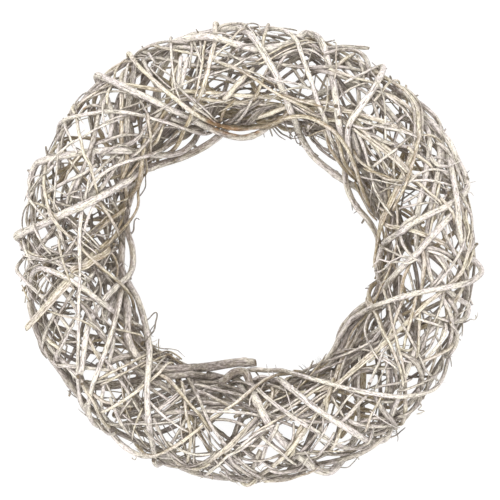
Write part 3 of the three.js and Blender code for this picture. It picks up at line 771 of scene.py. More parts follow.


# Strands between the frame's vines

# What the photograph shows on the front besides the frame's vines. A row has a slot's letter,
# which is a capital for a split cane, the width in pixels, the depth under the outside in millimetres, and
# the route in pixels. A route that ends in ! ends there in a cut. The others go on beneath what they meet.
FRONT_STRANDS = """
w2.5,1: 58,150 58,165 57,187 55,208; w3,1: 17,246 32,256 49,259 65,266 84,276
w3,1: 170,36 171,46 172,64 175,86 181,104; g1.8,-1: 75,108 75,102 77,97 80,94 86,92 94,92 104,88
g3,2: 70,114 79,106 92,97 104,93 119,91 134,95; w3,2: 50,163 62,154 76,142 98,130 116,122
g4,4: 103,142 115,138 125,135 139,135 156,139; g5,4: 318,69 336,75 352,82 368,88 386,92
g5,4: 345,125 359,132 375,140 395,146 412,150; w3.4,0: 461,198 465,208 470,217 469,230 472,240 468,250
t2.8,1: 468,204 462,218 467,230 463,242 469,252; w3.4,1: 468,214 465,228 459,247 449,265 436,281
w4,0: 408,222 400,226 397,234 399,243 406,251 414,257; g3.4,4: 390,316 393,330 397,352 399,370
w3.2,2: 398,320 406,333 415,350 423,368 439,381; t3.6,1: 366,298 374,314 382,333 391,350 401,377
t3.2,2: 383,292 387,307 393,330 400,360 405,393; g4,4: 372,312 362,326 353,340 346,353 336,378
G8,8: 388,366 390,382 392,400 396,422; c8,1: 168,371 187,374.5 200,375 218,374.5 !
w3.4,1: 218,27 224,20 233,18 243,22; c2.6,2: 238,19 244,20 248,27 256,33; g2,0: 244,25 250,21 255,21 259,27
t4,1: 261,53 262,43 265,34 268,26; t2.6,0: 241,30 231,39 222,48 213,57; w2.4,3: 217,48 225,53 233,58 241,62
g2.6,3: 206,37 217,35 232,37; g3,3: 240,37 234,46 229,58; g2.6,4: 234,52 245,47 256,45
t2.2,0: 262,59 272,54 283,47 295,42 306,40; t2,0: 264,61 275,56 286,50 298,45 308,43
c4,3: 279,64 285,55 293,51 303,52; w2.6,2: 190,82 205,77 220,72 236,66 250,58 258,54
w2.6,3: 228,66 243,71 257,75 270,82; g4.4,5: 209,74 222,77 236,83; t6,3: 227,96 236,85 248,74
g3,4: 217,97 232,92 247,84 262,78 272,70; t3.6,4: 255,96 260,87 265,76; g2.6,4: 268,101 279,94 290,89 302,88
w3,2: 271,78 284,82 297,85 310,90; g4,4: 292,67 297,76 303,84; t3.4,4: 221,119 223,110 230,104
g3.2,5: 234,120 245,110 258,103; w2.4,1: 196,103 205,110 215,120; g3,3: 284,34 297,40 315,45
c3,4: 286,46 300,43 319,50; g2.6,2: 284,56 296,51 310,51 322,60; t2,0: 333,72 334,58 335,48 334.5,42
t4.6,3: 331,71 341,62 351,56; g4.6,2: 327,54 342,51 354,54 363,61 367,71
g1.6,0: 350,48 359,49 365,57 369,68; c3,5: 341,68 346,74 351,79; c4,5: 356,60 359,69 361,78
w3,3: 358,61 366,67 373,73; w3.2,2: 349,81 360,76 370,70 377,67; t3.6,3: 334,74 346,78 358,81 371,84
g3,4: 339,97 348,90 360,86; t3,2: 287,97 300,102 313,105 321,108; t3,3: 290,103 302,110 318,116
w2,1: 326,86 326,98 324,111 320,122; g3,4: 338,88 342,97 350,104 358,110; c5,7: 357,91 357,102 354,112
g3.6,4: 361,90 371,99 381,109 390,119; c4.6,7: 371,97 374,108 377,120; t3,2: 377,96 383,88 389,82 397,82
w2.6,2: 376,92 387,99 398,107 408,118; w2,1: 292,110.5 301,113 308,117 314,121.5
c2.5,3: 297.5,118.5 308,121.5 319,127.5; c1.5,2: 301,115 304.5,119 309,123
c4,3: 293.5,110 304,113.5 316,114.5; c3,4: 304.5,116 310.5,119 316,115
t1.8,1: 308.5,136 316,131.5 324.5,129; c4,5: 303.5,130 308,134.5 317.5,134 325.5,132
c3,4: 306,128.5 315,131; g2.6,2: 309,137 314,143 319,148.5 324,151 333,151.5
g2.4,3: 311,138 317,146 323,152 333,154; g3,2: 320,152.5 327,158 333,163.5
g3,3: 324,137 328.5,142 332.5,148; c5,6: 321.5,115 331,120.5; g4,5: 323,121 331,125.5
w1.6,1: 314,121.5 312,126 308,130; g3.4,1: 404,90 410,100 413,112 413,126 414,134
g3,1: 406,88 415,98 419,108 420,120 420,133; w1.6,0: 438,122 443,136 449,147 452,156
g2.5,2: 423,117 430,123 437,129; t3,1: 420,136 430,136 438,141; g2.5,4: 419,142 425,152 432,163
t5,3: 380,92 392,97 404,104 414,111; c3,4: 400,118 406,113 412,111; w3,2: 362,122 378,127 396,131 414,136
g3,4: 393,148 403,141 413,134; g2,5: 397,132 405,141 412,149; g3,5: 396,130 394,138 391,146
t3,2: 376,144 388,154 399,166 404,176; w3.5,2: 370,167 380,160 389,154; g3,4: 387,158 384,168 380,180
t4,0: 417,138 411,160 406,178 400,192 393,205; t4,2: 412,152 421,160 433,168
w3,1: 409,180 418,173 428,169 440,170; g3,2: 429,160 435,157 441,159; w5,2: 430,163 434,168 441,168
w4,0: 441,146 449,155 457,166 463,175; w3,1: 452,165 456,175 460,180; w3,3: 356,128 365,130 375,127 384,125
t3,2: 357,133 368,141 380,150 391,158 401,167; w4,2: 359,137 363,149 366,161 370,174 375,187 382,202 386,210
c6,4: 352,138 356,148 355,160; t3.4,2: 352,157 362,164 372,171 383,178 394,181
t2.6,2: 368,170 380,173 392,180; w2.4,2: 355,175 366,178 380,181 394,184
g2,3: 366,148 373,158 381,168 386,176; g2,3: 372,146 378,155 383,163 388,172; g3,5: 370,128 372,138
w3,4: 383,126 383,139; w3,4: 393,158 392,168 393,178; c4,5: 353,172 360,186 368,200 375,212
g3,4: 357,176 365,189 371,200; w2,3: 361,193 367,203 372,212; t3,1: 353,190 360,198 366,206 370,214
w2,3: 371,178 370,189 368,201; g2.6,4: 378,186 386,191 393,186; w2.6,3: 377,193 386,188 394,183
c4,5: 384,190 386,200 384,208; w3,2: 413,180 426,180 440,184 452,186
t3.4,2: 412,178 422,188 432,198 438,203; w2,3: 404,184 415,189 426,195 434,201
g3,3: 403,207 417,204 431,202 443,204; g3,4: 407,200 416,195 424,190
t3,3: 436,190 434,205 431,218 428,232 426,240; w5,2: 441,168 450,175 459,184
c2.4,3: 440,186 446,190 452,186; c2.4,3: 445,184 447,192 443,197; g3,4: 409,207 414,218 419,231
c4,4: 441,212 437,222 432,234; t4,2: 442,204 447,211 451,218
t3,1: 460,205 462,218 467,232 473,238 470,250 466,262; w1.5,3: 453,220 459,226 464,232
g1.6,4: 444,228 444,240; g1.6,4: 447,226 449,238 450,242; g5,4: 426,246 438,250 450,255
w3,3: 432,250 444,257 453,265; t5,3: 424,246 423,260 421,275 419,290; w2,1: 393,242 397,249 400,256
w3,2: 381,246 391,252 401,257; w3,2: 438,260 444,268 448,278; t3,2: 456,275 462,264 468,256
w5,2: 441,258 446,267 451,278; g3.4,5: 433,281 439,274 443,268; g3,4: 404,268 408,278 411,290
w1.5,1: 387,283 389,290 391,296; t4,3: 402,268 399,282 397,296
w3.4,0: 369,311 364,322 363,333 368,344 374,352; t3.4,2: 399,303 395,315 391,327 386,338
g4,4: 396,310 402,320 407,328; t4,3: 413,299 410,313 406,328 402,343
t3.4,2: 417,316 416,330 414,345 412,354; w3,2: 418,318 430,322 443,325; g4,4: 422,311 433,316 445,321
g3,3: 440,295 437,306 433,316; c4,4: 428,322 424,334 418,346; w4,2: 444,327 438,338 431,349 424,357
w3.4,3: 438,325 433,337 427,349 420,357; t4,2: 449,346 437,352 425,357 414,362
w4,0: 452,326 456,334 455,343 450,352; c6,3: 449,303 454,312 450,324; t2.6,2: 390,340 380,350 372,356
w2.6,2: 379,354 385,358 393,363; t3,2: 400,350 405,353 411,351 415,346
g5,0: 420,394 419,403 411,409 404,414; g6,3: 400,352 410,357 417,367 421,379 424,390
g3,2: 402,387 413,383 426,377 436,372; w3.4,1: 369,379 374,367 379,355 383,344
w3,2: 381,357 389,361 396,367; c5,5: 386,366 387,378 385,390; c4,5: 393,366 395,379
t2.4,0: 335,383 352,370 368,357 384,344; c3,3: 346,384 352,374 360,369 370,368
g3,4: 345,372 360,367 380,368 386,367; g3,3: 377,385 388,382 403,379; g2,3: 374,386 380,373 385,363
w3,3: 336,413 342,402 350,392; w4,2: 343,421 351,410 359,400 366,394; g3,4: 332,399 338,409 343,419
t3,3: 366,423 369,412 374,404 378,397; g6,4: 376,399 381,409 389,417 394,423
w1.6,1: 374,413 384,420 396,426; g5,3: 352,421 367,425 383,424 397,425; c4,3: 364,421 373,416 383,418
c2,4: 356,406 359,414 357,422; c5,4: 374,433 386,428 399,423; w2.4,1: 266,381 260,389 254,399
g4,3: 258,380 268,385 280,386; t4,4: 270,383 273,390 271,398; w1.8,1: 283,384 287,394 290,404
w3,3: 277,407 288,403 297,396 308,388 315,383; t3,3: 290,404 300,398 310,391 322,385
g3,4: 292,413 303,404 314,396 326,387; t3,4: 296,415 308,405 318,397 330,388; t5,3: 330,384 327,394 323,404
w2.4,2: 319,409 312,418 303,431; g3,4: 321,411 322,422 320,432; c4,5: 297,417 312,420 330,419 346,416
c4,5: 272,416 284,421 298,427; t3,3: 255,431 268,422 282,414; w3.4,2: 240,445 252,434 266,426
w3,2: 240,436 252,426 262,418; c3,4: 293,426 293,434 290,441; t5,4: 302,427 296,437 290,447
c4,4: 318,430 308,441 297,451; w3,3: 322,430 314,443 306,456; w3,3: 329,436 320,447 311,457
t4,3: 341,424 336,435 331,446; w5,3: 270,428 266,440 262,452 257,462; g3,3: 240,443 251,443 264,442
g3,4: 240,447 247,452 254,459; w3.4,2: 262,434 272,443 283,451 292,460; c4,4: 248,424 236,440 225,449
g3,4: 254,458 265,463 272,466; g6,2: 259,456 254,465 249,476; c3,3: 243,458 255,458 267,457 279,456
c3,4: 263,435 272,442 283,449; g5,2: 231,455 241,465 249,472; g3,2: 225,460 233,467 240,474
w2.4,3: 241,461 250,468 255,474; g3,0: 225,477 232,479 240,482 248,484 259,479
g2.4,0: 227,474 235,481 245,485 251,484 256,480; t2.6,0: 259,480 271,479 285,479 298,474 313,469
c4,2: 274,469 285,470 297,471 304,467; c6,3: 270,477 285,475 298,472; w1.6,2: 307,453 312,460
g3,3: 300,450 307,449 315,452; c5,3: 305,463 298,468; g5,2: 215,369 225,374 238,379 250,383
c4,6: 196,381 212,383 228,385 245,390; g4,4: 198,384 215,389 232,392 246,396
w4,3: 200,390 214,397 226,402 232,404; g4,5: 210,388 225,390 240,393; g5,4: 205,400 220,402 235,401
g4,5: 208,406 222,404 238,404; w4,3: 205,411 225,411 253,411; c4,4: 205,417 220,416 235,419 245,423
t4.4,2: 164,371 173,381 182,393 191,404 200,412 209,422; t4,3: 182,384 184,396 186,410
g5,3: 150,378 162,384 174,391; g4,4: 152,387 163,394 175,402; g5,3: 184,386 172,397 161,407
g3,3: 186,392 175,400 164,409; w3,2: 150,400 162,411 175,421 188,429; c6,4: 152,415 167,411 183,410 203,412
g3,3: 150,423 163,421 178,415; g4,3: 157,422 163,435 170,447 178,460
g3.4,3: 151,431 161,441 173,451 186,462; g4,4: 184,420 177,433 168,447
t4,3: 187,417 190,431 190,446 187,462; g3.4,4: 195,419 193,435 194,450 194,462
g2.4,3: 196,430 205,442 216,453; g2,3: 201,428 208,438 217,449; g2,3: 206,425 213,436 221,446
w3,2: 173,445 186,450 200,453 212,453; c3,1: 162,462 172,464 185,464 200,461 212,454
t3,1: 180,464 192,468 204,464; w3.4,2: 205,474 219,462 234,450 247,441 258,433
c3,1: 252,420 241,432 228,444; c4,5: 238,421 235,431; w3,3: 221,456 230,463 239,472
w3,3: 228,453 238,460 248,468; w3,3: 214,458 222,466 230,473; c5,4: 236,446 240,454 239,464
c8,7: 104,362 118,357 132,355 147,352; g5,3: 56,362 72,365 90,367 106,366
t3.4,2: 101,377 116,369 131,362 148,353; t3,2: 108,380 122,373 136,366 148,361; g3,3: 92,382 106,379 118,375
t3.6,1: 104,410 118,402 132,393 146,382 160,372 171,365; t2.4,1: 148,354 158,351 168,350 178,352
t2.4,1: 148,361 160,356 172,353; t2.4,1: 118,328 129,331 140,334; g2.6,3: 107,383 112,394 116,405
g2.6,3: 122,370 131,383 139,394; g4,1: 113,403 120,417 128,432; t4,2: 88,392 100,398 113,403 124,405
t4,1: 84,384 92,397 99,410 106,422; w4,0: 89,400 88,411 94,422 104,430 112,433; g5,2: 80,384 79,396 86,408
g4,3: 106,424 122,424 137,422 152,422; w1.8,1: 137,422 160,421 170,420; g2.6,3: 120,411 129,418 137,424
t2.6,3: 140,413 136,423 133,434; t4,3: 90,340 97,351 103,362; w3.4,1: 60,352 66,340 72,328
c3.4,5: 118,335 128,343 138,350; c6,3: 123.5,300.5 128.5,304 134,311 136,317.5
g5,4: 123.5,308.5 130.5,318 136,323; g2.4,0: 30,269 42,263 55,259 66,256; t3,1: 61,246 64,258 69,270 74,282
g3,3: 65,256 72,248 78,240; c4,4: 48,248 58,252; w3,1: 58,261 68,266 77,272 90,278
g3,2: 28,278 27,288 31,299; g2.4,4: 35,286 41,278; g2.4,4: 40,292 48,276; g2.4,4: 46,296 55,284
g2.4,4: 43,272 50,279 57,287; c5,5: 64,292 72,300 78,310; g4,5: 72,294 66,304 60,312
c4,6: 84,297 94,299 104,302; g3,6: 83,301 91,308 98,315; g2.6,5: 90,286 93,298 96,310
c4,5: 83,304 88,312 92,322; c3,4: 96,262 104,272 113,283; c3,4: 97,268 102,280 104,292
t3,1: 46,308 58,313 70,316 82,319 92,324; w4,1: 55,316 48,329 44,342 43,352; g3,2: 35,322 37,337 41,352
g2.4,3: 43,318 46,328 49,336; c2.6,4: 56,318 61,329 64,340; t5,3: 49,338 55,342 60,347
g2.4,3: 66,341 79,340; c2.4,2: 106,308 104,316 110,322; g2.4,3: 93,322 99,327 105,334
w2.4,1: 30,192 37,184 43,177; w3,0: 23,190 29,198 36,206 43,214; w2.4,0: 27,190 29,181 34,176
g2,0: 26,206 23,215 23,225; w4,1: 47,192 58,186 70,180 82,174 91,168; t2.6,3: 80,158 73,167 68,176
t4,1: 74,103 75,115 79,130 84,144 89,157 93,171 97,184 101,197; w3,3: 95,158 93,172 88,186 85,200
c4,4: 60,204 68,207 77,208; g4,4: 76,182 71,194 67,207; c2.6,4: 72,194 80,191 87,189; c3,4: 81,190 84,201
c2,4: 88,191 93,199; t3,1: 35,203 45,205 57,213; w2.4,1: 42,214 52,212 62,213; t3,2: 48,196 56,208
g5,3: 57,222 61,234 66,248; w3,2: 37,228 42,238 48,248; w3,1: 20,238 26,248 30,258
g2.4,2: 26,236 32,244 38,254; T8,1: 76,271 84,266 93,260 101,256 108,251; t3,1: 17,243 26,251 37,256
c4,4: 66,256 73,247 79,240; w2.4,2: 83,229 90,236 97,243; w2.4,2: 82,234 90,241 99,249
w2.4,2: 82,240 90,247 97,254; w3.4,2: 93,206 88,218 84,232; t4,1: 100,202 107.5,212 111.5,220 117,231
g3,3: 114,203 120,216; g2.4,3: 67,216 74,222 81,229; g4,3: 98,172 107,163 117,155
g5,4: 104,186 112,173 122,160; t5,4: 128,156 128,170 126,186; t3,1: 133,172 139,164 147,157
t3,3: 124,214 119,226 113,238; c3,3: 121.5,241.5 124,248.5 122,259.5; t2.6,2: 115,255 118,264 118,274
w1.6,1: 101,234.5 106,234.5 112,234.5; t3,1: 102,75 108,67 117,62 128,60; t3,1: 108,98 111,84 115,70 119,61
w3.4,1: 124,90 126,75 128,62; g3,2: 90,93 100,86 110,81; t3,1: 79,105 89,98 99,91 107,84
w3,2: 107,92 104,105 104,118 107,128; w6,2: 107,100 111,110 112,122 110,136; g3,2: 104,123 113,119 122,115
g2.4,2: 127,111 136,106 145,101; c2.4,2: 140,100 144,108 147,114; g3,1: 108,152 115,147 123,144 131,149
g5,3: 130,149 140,139 150,128 158,120; g4,3: 136,152 147,141 157,130 165,121
t3.4,1: 149,122 150,137 151,153; t4,3: 163,125 157,138 152,150; w3.4,2: 66,125 70,137 75,147
g3,3: 65,128 61,140 59,152; c4,4: 82,112 90,106 99,107; g3.4,0: 134,52 137,46 146,43 158,41 172,42 180,40
w4,1: 139,45 147,52 153,60; g2,2: 131,55 145,55; g2,2: 131,58 147,58; t3,3: 176,70 174,80 176,92
w2,4: 155,65 165,72 172,78; w2,4: 153,72 160,80 167,86; g5,3: 143,60 147,69 151,78
w5,3: 181,66 180,75 178,87; w5,3: 187,66 184,76 180,86; w2.6,2: 177,89 190,83 206,76
w3,2: 178,87 186,95 194,103 200,110; t3,1: 206,36 203,50 201,66 199,82 197,98
g3,2: 199,38 201,50 198,66 196,80; w3,1: 193,42 197,52 201,60; g3,3: 189,36 192,48 190,63
g3,3: 140,111 152,105 165,99 178,96; g3,3: 152,116 163,108 174,102 186,99; w3,2: 148,121 149,133
t5,3: 152,134 159,123 167,112; w2,2: 197,110 205,106 212,103 225,101; w2.4,1: 200,111 207,115 214,122
g4,4: 228,125 236,116 243,108 252,103; w4,3: 234,125 241,116 249,105; c3,5: 244,119 252,112 260,108 270,107
G8,5: 244,122 255,115 268,110 278,110; t5,1: 262,130 271,127 279,121 286,115
t4,1: 222,132 238,135 255,133 270,131
"""

# Gaps that the photograph shows right through the wreath: the middle and the radius in pixels.
GAPS = """
213,109,3.5 243,73,4.5 232,42,2 251,49,3 237,57,3.5 258,71,2.5 266,76,2.5 287,76,5 297,62,2.5 280,62,2
351,71,6 343,72,3 305,88,4 303,97,2.5 339,84,3 366,110,4 383,107,4 312,74,3 352,104,2.5 362,92,2 395,107,6
393,91,4 409,120,2.5 432,133,2.5 430,118,3 405,136,3 408,146,2 429,148,7 443,142,2.5 446,159,2.5 426,127,2
399,137,3 379,132,3 358,156,3 360,163,2 357,166,3 369,162,4 377,160,2.5 383,146,2.5 388,163,2 399,155,4
354,190,2.5 377,182,2 406,144,3 409,136,3 410,187,4.5 427,188,3 415,200,4 428,207,3 443,190,2.5 452,189,3
405,213,3 419,224,4.5 409,225,2 453,230,8 445,240,5 455,245,5 466,222,2 433,259,4 445,262,3 445,277,2.5
406,282,3.5 411,288,3 410,273,2 437,270,4.5 455,272,4 393,285,2.5 447,308,3.5 430,306,3 408,341,4.5
429,334,3.5 420,349,3 433,329,3 461,318,2.5 420,325,3 411,326,2.5 421,344,2 393,342,2 376,355,3 437,360,4
407,370,6 383,401,4 363,413,6 377,378,4 372,369,3 371,358,5 359,345,4 368,350,2.5 407,404,2 399,402,2
410,387,2.5 372,429,3 343,413,2 285,433,6 252,449,6 271,451,4.5 290,396,3.5 307,412,4 302,437,3.5 309,448,3
249,382,3 323,450,3 330,453,2 245,405,2.5 257,438,2.5 251,435,2 296,430,2 250,463,2.5 263,467,4 273,462,3
294,463,3.5 234,468,2 229,467,2.5 284,466,2.5 233,475,2 301,469,2 238,461,2 267,434,2 225,425,6 231,430,5
177,428,4 158,377,3.5 160,398,4.5 172,415,3 185,438,3.5 199,443,3.5 170,452,2.5 181,455,3 203,449,3
236,381,3 250,440,2.5 156,441,2.5 167,433,2.5 91,374,4 101,384,3 113,415,5 131,411,4 125,385,2.5 155,398,5
100,331,3 86,334,2 128,349,2.5 124,420,2 125,397,2.5 109,395,2 157,425,3 64,338,2 140,378,2 126,298,2.5
129.5,303,2 124,322,2 113.5,300.5,2 118,341,2 42,253,3.5 55,247,2 55,254,3 73,262,3 62,299,4 56,329,5
78,327,3.5 91,291,3 90,304,2.5 105,280,3 101,310,2.5 101,319,2.5 70,288,3 98,331,3 47,320,2.5 74,313,2
40,330,2 78,200,7 83,183,4 70,187,3 90,193,3 55,237,6 72,230,4 92,209,2 55,191,3 51,178,3 102,171,3.5
139,170,3 132,197,2 127,211,2.5 126,222,3 98,243,3 101,242,3.5 113.5,258,3 45,229,2 43,246,2 50,252,2.5
64,166,2 82,170,2 81,177,2 78,128,5.5 85,121,2.5 100,123,3 101,132,3 148,86,5 114,85,3 136,112,3.5
119,108,2.5 148,112,2 139,121,2.5 93,97,2.5 155,150,2.5 147,143,2 137,127,2 65,145,2 113,97,2 78,142,2
165,76,5 160,64,3 168,73,4 158,79,3 191,77,2 174,86,3 216,106,4 186,115,2.5 180,120,2 152,112,2 172,114,2
163,118,2 178,47,3.5 213,70,2 194,91,2.5 215,83,2 243,127,2.5 253,123,2.5 266,118,2 278,114,2 279,98,2
322,139,4 327,144,4 305,124.5,3 329,155,3.5 339.5,105,4 340,114.5,3 330,131,2
"""

# The rest, on all sides: how many, their diameters, lengths and depths, and their slots.
FAMILIES = [
    (12, (2.8, 4.0), (120, 320), (7, 20), ("grey_vine", "core_vine", "white_vine")),
    (108, (1.4, 2.8), (60, 260), (1, 14),
     ("white_vine", "grey_vine", "white_vine", "tan_cane", "grey_vine")),
    (110, (0.8, 1.5), (40, 160), (1, 12), ("white_vine", "grey_vine", "tan_cane")),
]
LETTERS = {"w": "white_vine", "g": "grey_vine", "t": "tan_cane", "c": "core_vine"}


def table_rows(table):
    """Each row of a table of routes: its letter, its numbers, its pixels and whether it ends in a cut."""
    for row in table.replace("\n", ";").split(";"):
        if row.strip():
            head, route = row.strip().split(":")
            numbers = [float(value) for value in head[1:].split(",")]
            pixels = [tuple(map(float, pair.split(","))) for pair in route.replace("!", "").split()]
            yield head[0], numbers, pixels, "!" in route


def route_on_front(pixels, depth):
    """The line on the wreath's front that a route of pixels shows."""
    flat = np.column_stack([pixels, np.zeros(len(pixels))])
    return np.array([picture_point(x, y, depth) for x, y, _ in resample(flat, ROUTE_STEP)[0]])


def tucked(line):
    """The line carried on a little past its end, down beneath what it meets there."""
    shares = np.array([0.5, 1.0])[:, None]
    run = unit(line[-1] - line[-2])
    out, _ = from_middle(line[-1])
    return np.vstack([line, line[-1] + run * TUCK_LENGTH * shares - out * TUCK_DROP * shares ** 1.5])


def sight_cells(line, radius):
    """The cells of the picture, as seen from straight above, that a line covers."""
    line = resample(line, SIGHT_CELL)[0][:, :2]
    run = unit(np.gradient(line, axis=0))
    aside = np.column_stack([-run[:, 1], run[:, 0]])
    offsets = np.linspace(-radius, radius, 2 + int(2 * radius / SIGHT_CELL))
    spots = (line[:, None] + aside[:, None] * offsets[None, :, None]).reshape(-1, 2)
    cells = np.unique(np.floor((spots - CENTRE[:2]) / SIGHT_CELL).astype(int) + SIGHT_CELLS // 2, axis=0)
    return cells[:, 0], cells[:, 1]


def cells_in_gaps():
    """Which cells of the picture lie in a gap."""
    at = (np.arange(SIGHT_CELLS) - SIGHT_CELLS // 2 + 0.5) * SIGHT_CELL
    east, north = np.meshgrid(at, at, indexing="ij")
    open_cells = np.zeros(east.shape, bool)
    for gap in GAPS.split():
        x, y, radius = (MM_PER_PIXEL * float(value) for value in gap.split(","))
        across = east - x + PICTURE_CENTRE[0] * MM_PER_PIXEL
        along = north + y - PICTURE_CENTRE[1] * MM_PER_PIXEL
        open_cells |= np.hypot(across, along) < radius
    return open_cells


def cells_of(line):
    """The cells of the tube's outside that a line lies over."""
    off = line - CENTRE
    reach = np.hypot(off[:, 0], off[:, 1])
    angle = np.arctan2(off[:, 1], off[:, 0]) / TAU
    turn = np.arctan2(off[:, 2] / HALF_DEPTH, (reach - RING_RADIUS) / HALF_WIDTH) / TAU
    angle_cells = (angle * ROUND_CELLS).astype(int) % ROUND_CELLS
    return angle_cells, np.floor(turn * TURN_CELLS).astype(int) % TURN_CELLS


def fill(crowd, line, radius):
    """Adds to each cell of the tube's outside the area that a line covers there."""
    step = np.linalg.norm(line[1] - line[0])
    np.add.at(crowd, cells_of(line), 2 * radius * step * (from_middle(line)[1] > 0.5))


def crowding(crowd, line):
    near = sum(np.roll(crowd, (i, j), (0, 1)) for i in (-1, 0, 1) for j in (-1, 0, 1))
    return near[cells_of(line)].mean()


def wound_route(rng, length, depths, place):
    """A route that winds round the tube from one place, wavering in heading and in depth."""
    count = max(4, int(length / STRAND_STEP))
    at = np.arange(count) * STRAND_STEP
    heading = math.radians(rng.uniform(*HEADINGS))
    bend = math.radians(rng.uniform(-HEADING_BEND, HEADING_BEND))
    headings = heading + bend * at / at[-1] + drift_along(at, HEADING_DRIFT, rng)
    deep = np.linspace(rng.uniform(*depths), rng.uniform(*depths), count) + drift_along(at, DEPTH_DRIFT, rng)
    for end in (0, -1):
        if rng.uniform() < SURFACING_CHANCE:
            lift = np.maximum(0, 1 - np.abs(at - at[end]) / SURFACING_LENGTH)
            deep = deep - (deep[end] + rng.uniform(0, SURFACING_RISE)) * lift ** 2
    spin, roll = rng.choice([-1, 1]), rng.choice([-1, 1])
    angle, turn = place
    points = []
    for depth, heading in zip(deep, headings):
        points.append(on_tube(angle, turn, depth))
        reach = RING_RADIUS + (HALF_WIDTH - depth) * math.cos(turn)
        angle += spin * math.cos(heading) * STRAND_STEP / reach
        turn += roll * math.sin(heading) * STRAND_STEP / (HALF_WIDTH - depth)
    return np.array(points)


def closest_shares(a0, a1, b0, b1):
    """The shares along each pair of segments at which they come closest."""
    u, v, w = a1 - a0, b1 - b0, a0 - b0
    uu, vv, uv = (u * u).sum(1), (v * v).sum(1), (u * v).sum(1)
    uw, vw = (u * w).sum(1), (v * w).sum(1)
    level = uu * vv - uv * uv
    s = np.where(level > 1e-6, np.clip((uv * vw - vv * uw) / np.maximum(level, 1e-6), 0, 1), 0.5)
    t = np.clip((uv * s + vw) / vv, 0, 1)
    s = np.clip((uv * t - uw) / uu, 0, 1)
    return s[:, None], t[:, None]


def tree_of(points):
    tree = kdtree.KDTree(len(points))
    for i, point in enumerate(points):
        tree.insert(point, i)
    tree.balance()
    return tree


def pairs_within(a, b, reach):
    """The pairs of a point of a and a point of b that lie nearer than reach, as two rows of indices."""
    def key_of(cells):
        return (cells[:, 0] * 1000 + cells[:, 1]) * 1000 + cells[:, 2]

    cells_a, cells_b = (np.floor(points / reach).astype(int) + 100 for points in (a, b))
    order = np.argsort(key_of(cells_b), kind="stable")
    keys = key_of(cells_b)[order]
    found = []
    for offset in np.ndindex(3, 3, 3):
        sought = key_of(cells_a + np.array(offset) - 1)
        first = np.searchsorted(keys, sought, "left")
        count = np.searchsorted(keys, sought, "right") - first
        i = np.repeat(np.arange(len(a)), count)
        rank = np.arange(len(i)) - np.repeat(np.cumsum(count) - count, count)
        j = order[rank + np.repeat(first, count)]
        near = np.linalg.norm(a[i] - b[j], axis=1) < reach
        found.append((i[near], j[near]))
    return np.concatenate([i for i, _ in found]), np.concatenate([j for _, j in found])


def relax(plans, radii, fixed):
    """Moves the planned strands off each other and off the fixed vines, which stay."""
    plan = np.vstack(plans)
    points = plan.copy()
    chain = np.concatenate([np.full(len(p), i) for i, p in enumerate(plans)])
    radii = np.asarray(radii)
    starts = np.flatnonzero(chain[:-1] == chain[1:])
    own_radius = radii[chain[starts]]
    fixed0 = np.vstack([line[:-2:2] for line, _ in fixed])
    fixed1 = np.vstack([line[2::2] for line, _ in fixed])
    fixed_radius = np.concatenate([radius[1:-1:2] for _, radius in fixed])
    is_first = np.concatenate([[True], chain[1:] != chain[:-1]])
    is_last = np.concatenate([chain[1:] != chain[:-1], [True]])
    before = np.arange(len(points)) - ~is_first
    after = np.arange(len(points)) + ~is_last
    out, _ = from_middle(plan)

    def near_pairs():
        middles = (points[starts] + points[starts + 1]) / 2
        with_fixed = pairs_within(middles, (fixed0 + fixed1) / 2, NEAR)
        i, j = pairs_within(middles, middles, NEAR)
        apart = (chain[starts[i]] != chain[starts[j]]) | (j - i > OWN_SEGMENTS)
        return with_fixed, (i[apart & (j > i)], j[apart & (j > i)])

    def push_apart(i, j, is_own):
        a0, a1 = points[starts[i]], points[starts[i] + 1]
        b0, b1 = (points[starts[j]], points[starts[j] + 1]) if is_own else (fixed0[j], fixed1[j])
        need = own_radius[i] + (own_radius if is_own else fixed_radius)[j] + CLEARANCE
        s, t = closest_shares(a0, a1, b0, b1)
        way = a0 + (a1 - a0) * s - b0 - (b1 - b0) * t
        distance = np.linalg.norm(way, axis=1)
        hit = distance < need
        way = way[hit] / np.maximum(distance[hit], 1e-3)[:, None]
        push = (need[hit] - distance[hit])[:, None] * way * (OWN_PUSH if is_own else FIXED_PUSH)
        ends = [(starts[i][hit], 1 - s[hit], 1), (starts[i][hit] + 1, s[hit], 1)]
        if is_own:
            ends += [(starts[j][hit], 1 - t[hit], -1), (starts[j][hit] + 1, t[hit], -1)]
        moves = np.zeros_like(points)
        weight = np.zeros(len(points))
        for at, share, sign in ends:
            np.add.at(moves, at, sign * push * share)
            np.add.at(weight, at, share[:, 0])
        moves = moves / np.maximum(1.0, weight)[:, None] * PUSH_SHARE
        lift = (moves * out).sum(1, keepdims=True) * out
        return points + lift + ASIDE * (moves - lift)

    for turn in range(RELAX_ROUNDS):
        if turn % PAIRS_EVERY == 0:
            with_fixed, with_own = near_pairs()
        if turn < RELAX_ROUNDS * DRAWN_BACK_ROUNDS:
            offset = points - plan
            offset = OFFSET_KEPT * offset + OFFSET_SHARED * (offset[before] + offset[after])
            lift = (offset * out).sum(1, keepdims=True) * out
            points = plan + ASIDE_KEPT * (offset - lift) + LIFT_KEPT * lift
        points = push_apart(*with_fixed, False)
        points = push_apart(*with_own, True)
        way, share = from_middle(points)
        beyond = share * HALF_WIDTH + radii[chain] - HALF_WIDTH - STANDING_OUT
        points = points - way * np.maximum(0, beyond)[:, None]
        points[:, 2] = np.maximum(points[:, 2], radii[chain])
    return [points[chain == i] for i in range(len(plans))]


crowd = np.zeros((ROUND_CELLS, TURN_CELLS))
open_cells = cells_in_gaps()
covered = np.zeros(open_cells.shape, bool)
routes, strand_radii, strand_kinds = [], [], []


def count_in(line, radius):
    fill(crowd, line, radius)
    covered[sight_cells(line, radius)] = True


